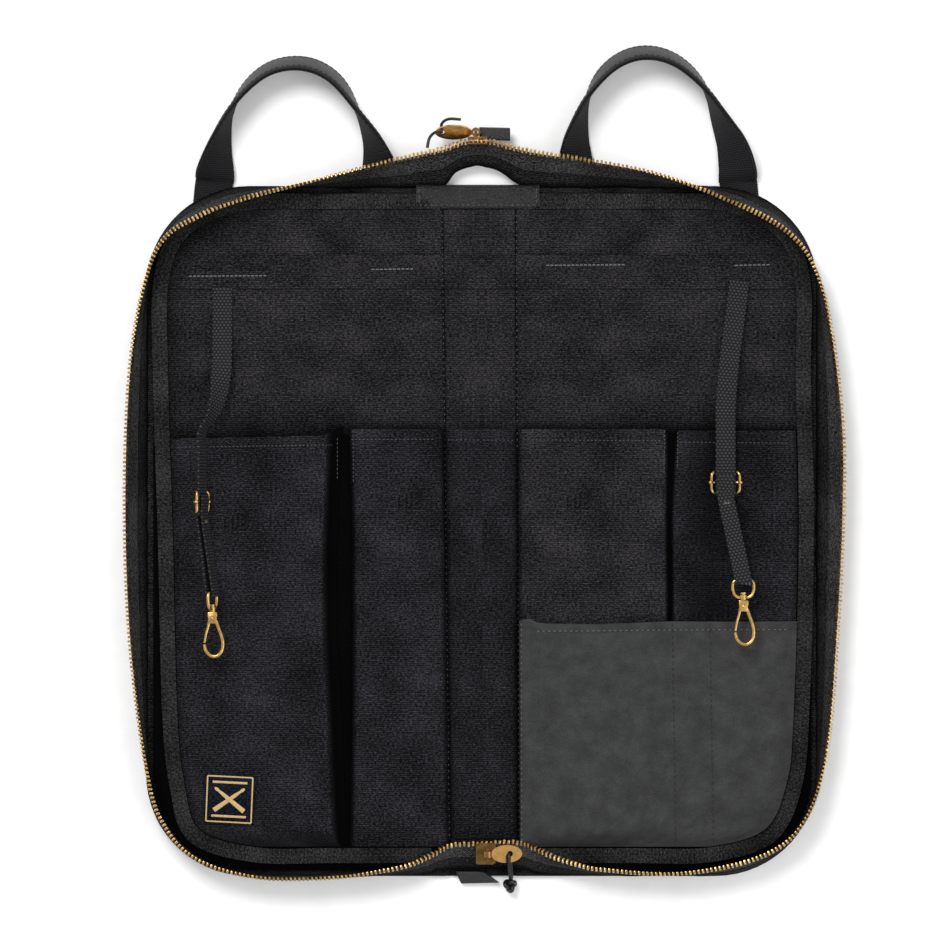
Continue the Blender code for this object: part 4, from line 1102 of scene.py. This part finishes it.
def lace(name, route, radius, body, node):
    """A curve of one spline through the route's points, and its length in metres."""
    data = bpy.data.curves.new(name, "CURVE")
    data.dimensions = "3D"
    data.bevel_depth = radius * MM
    data.bevel_resolution = 4
    data.use_fill_caps = True
    spline = data.splines.new("POLY")
    spline.points.add(len(route) - 1)
    for point, at in zip(spline.points, route):
        point.co = (*(at * MM), 1)
    made = bpy.data.objects.new(name, data)
    bpy.context.scene.collection.objects.link(made)
    data.materials.append(LACE)
    dress(made, body, "leather", node)
    return made, round(float(np.linalg.norm(np.diff(route, axis=0), axis=1).sum() * MM), 4)


def knot_shape(at, radius):
    """An overhand knot: three turns of lace pulled into a ball."""
    turns = np.linspace(0, 2 * math.pi, 120, endpoint=False)
    r = radius - 1.3
    x = r * 0.45 * (np.sin(turns) + 2 * np.sin(2 * turns)) * 0.75
    y = r * 0.45 * (np.cos(turns) - 2 * np.cos(2 * turns)) * 0.75
    path = np.stack([x, y, -r * 0.75 * np.sin(3 * turns)], 1) + at
    return sweep_shape(path, (0.1, 0.2, 1), disc(1.35, 10), ring=True)


def make_zip_ends():
    route = smooth([(-36, 250.5, 24.6), (-34.5, 257, 24), (-31, 260.8, 22), (-26.9, 261.2, 19.4),
                    (-26.5, 261.6, 15),
                    (-26.7, 262.4, 11.4), (-26.5, 267.5, 12), (-22, 270, 18), (-14, 269.5, 21)], 36)
    cord, length = lace("top_pull_lace", route, 1.0, "top_pull", "top_lace")

    route = smooth([(19.4, -233.2, 4.6), (19.6, -227, 6.6), (19.1, -220, 8.6), (18.1, -215.8, 9.0),
                    (18.0, -214.3, 10.6),
                    (18.0, -215.0, 12.9), (17.9, -218, 13.9), (18.0, -223, 12.2), (18.5, -229, 8.0),
                    (18.6, -233.5, 5.6)], 36)
    cord, length = lace("bottom_pull_lace", route, 1.1, "bottom_pull", "bottom_lace")
    knot = merged("bottom_lace_knot", [knot_shape(np.array((18.6, -236, 5.4)), 5.0)], LACE)
    dress(knot, "bottom_pull", "leather")

    leather_tab("top_leather_end", [(-1.5, 257.5), (18.4, 256.5), (18.4, 265), (-1.5, 265.4)], 7.9,
                "top_end_tab")
    leather_tab("bottom_leather_end", [(-17.5, -226.6), (-13.4, -235), (11.5, -234.4), (1.0, -227.0)], 1.9,
                "bottom_end_tab")
    for node in ("top_slider", "bottom_slider", "top_pull_tab", "bottom_pull_tab"):
        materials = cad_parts[node].data.materials
        materials.clear()
        materials.append(ANTIQUE)


# ---- leather over the spine's top, and the badge ----
def make_spine_wrap():
    section = smooth([(211.5, 5.2), (212.2, 6.6), (214.5, 7.2), (220, 7.6), (224.5, 7.1), (227.2, 5.4),
                      (227.8, 3.0),
                      (227.0, 0.6)], 26)
    for (side, name), far in zip(SIDES, (43.5, 38)):
        rows = []
        for x in np.linspace(0, far, 40):
            bulge = 1.0 if x > 25 else 0.5
            rows.append([(side * x, y, z + bulge * (0.5 * wander(x * side + 0.5 * y, 0.3 * y, 4.2, 2)
                                                    + 0.3 * wander(x * side - 0.4 * y, 0.4 * y, 2.0, 8)))
                         for y, z in section])
        wrap = sheet(f"{name}_spine_wrap", rows, 1.2, WRAP_LEATHER)
        dress(wrap, name, "leather", *shared(side, "spine_top_binding"))
        line = spaced([(side * 1, 214.0), (side * (far - 2), 214.0), (side * (far - 2), 226)], 50)
        edge = drape(line, [tree_of(wrap)], 0.15)
        add_stitches(f"{name}_wrap_stitching", [edge], name, "leather", THREAD, 2.3, 1.2, 0.5)


def make_badge(tree):
    """A square cloth badge: a woven border, a rule at the top and foot, and two crossed drum sticks."""
    turn = math.radians(2.5)
    centre = np.array((-166.8, -178.6))
    axes = np.array([(math.cos(turn), -math.sin(turn)), (math.sin(turn), math.cos(turn))])
    steps = np.linspace(-16.6, 16.6, 27)
    grid = [drape([centre + u * axes[0] + v * axes[1] for u in steps], [tree], 1.0) for v in steps]
    badge = sheet("left_badge", grid, 0.9, PATCH)
    top = tree_of(badge)

    def bar(a, b, wide):
        a, b = (centre + np.array(p) @ axes for p in (a, b))
        line = drape(spaced([a, b], 26), [top], 0.12)
        widths = np.interp(np.linspace(0, 1, 26), (0, 0.72, 0.86, 0.93, 1), wide)
        return sweep_shape(line, np.cross(unit(line[-1] - line[0]), (0, 0, 1)),
                           [disc(w, 8, 0.35) for w in widths])

    stick = (1.7, 1.25, 0.8, 1.3, 0.5)
    corners = [(x * 15.0, y * 15.0) for x, y in ((-1, -1), (1, -1), (1, 1), (-1, 1))]
    shapes = [bar(a, b, (0.5,) * 5) for a, b in zip(corners, corners[1:] + corners[:1])]
    shapes += [bar((-10, -7.5), (10, 7.5), stick), bar((10, -7.5), (-10, 7.5), stick)]
    shapes += [bar((-11.5, y), (11.5, y), (0.8,) * 5) for y in (-11.2, 11.2)]
    dress(badge, "left_half", "patch", "left_patch")
    dress(merged("left_badge_mark", shapes, GOLD), "left_half", "patch")


# ---- seams and stitching ----
def line_on(trees, points, lift=0.12, count=120):
    return drape(spaced(points, count), trees, lift)


def make_seams(linings, fronts, leather_front):
    for side, name in SIDES:
        rows = []
        for trees, ys in (([linings[side]], (208, 68)),
                          ([fronts[f"spine_front_{name}"], fronts[f"{name}_centre_front"], linings[side]],
                           (64, -206))):
            rows.append(line_on(trees, [(seam_x(side, y) + side * 0.2, y) for y in ys]))
        add_stitches(f"{name}_spine_seam", rows, name, "lining", THREAD, 1.8, 2.4, 0.42)
    hems = {
        "left": [([(-201.5, 53.8), (-98, 55.4)], "left_stick_front"),
                 ([(-95.6, 60), (-95.6, 32)], "left_stick_front"),
                 ([(-22.8, 58.8), (-0.6, 58.7)], "spine_front_left"),
                 ([(-86.5, 59.0), (-31, 59.2)], "left_centre_front"),
                 ([(-85.2, 65), (-84.9, 30)], "left_centre_front")],
        "right": [([(0.4, 58.7), (21.6, 58.6)], "spine_front_right"),
                  ([(27.5, 58.8), (119, 58.2)], "right_centre_front"),
                  ([(120.6, 65), (120.2, 36)], "right_centre_front"),
                  ([(131, 57.4), (203, 56.6)], "right_stick_front"),
                  ([(129.4, 64), (129.0, 40)], "right_stick_front")],
    }
    for name, lines in hems.items():
        rows = [line_on([fronts[front]], points) for points, front in lines]
        add_stitches(f"{name}_hem", rows, name, "lining", THREAD, 1.5, 1.1, 0.42)
    for name, lines, *look in (
            ("leather_hem", [[(36.5, -67.4), (120, -66.6), (203, -66.4)], [(25.9, -62), (26.3, -208)]],
             PALE_THREAD, 1.9, 1.7, 0.45),
            ("leather_columns", [[(125.6, -62), (127.9, -208)], [(150.5, -62), (152.9, -208)]],
             DARK_THREAD, 2.5, 1.6, 0.6)):
        add_stitches(name, [line_on([leather_front], line) for line in lines], "right", "leather", *look)


def make_bar_tacks(linings):
    """The rows of stitching where the handles' webbing is sewn through the lining."""
    for side, name in SIDES:
        lines = [line_on([linings[side]], [(x0, y), (x1, y + 0.4)], 0.1, 60) for x0, x1, y in TACKS[side]]
        add_stitches(f"{name}_bar_tacks", lines, name, "lining", PALE_THREAD, 2.2, 0.45, 0.75)


set_stage()
linings = make_panels()
make_walls()
make_binding()
fronts = make_pockets()
leather_front = make_leather_pocket()
make_handles()
make_straps()
make_zip_ends()
make_spine_wrap()
make_badge(fronts["left_stick_front"])
make_seams(linings, fronts, leather_front)
make_bar_tacks(linings)
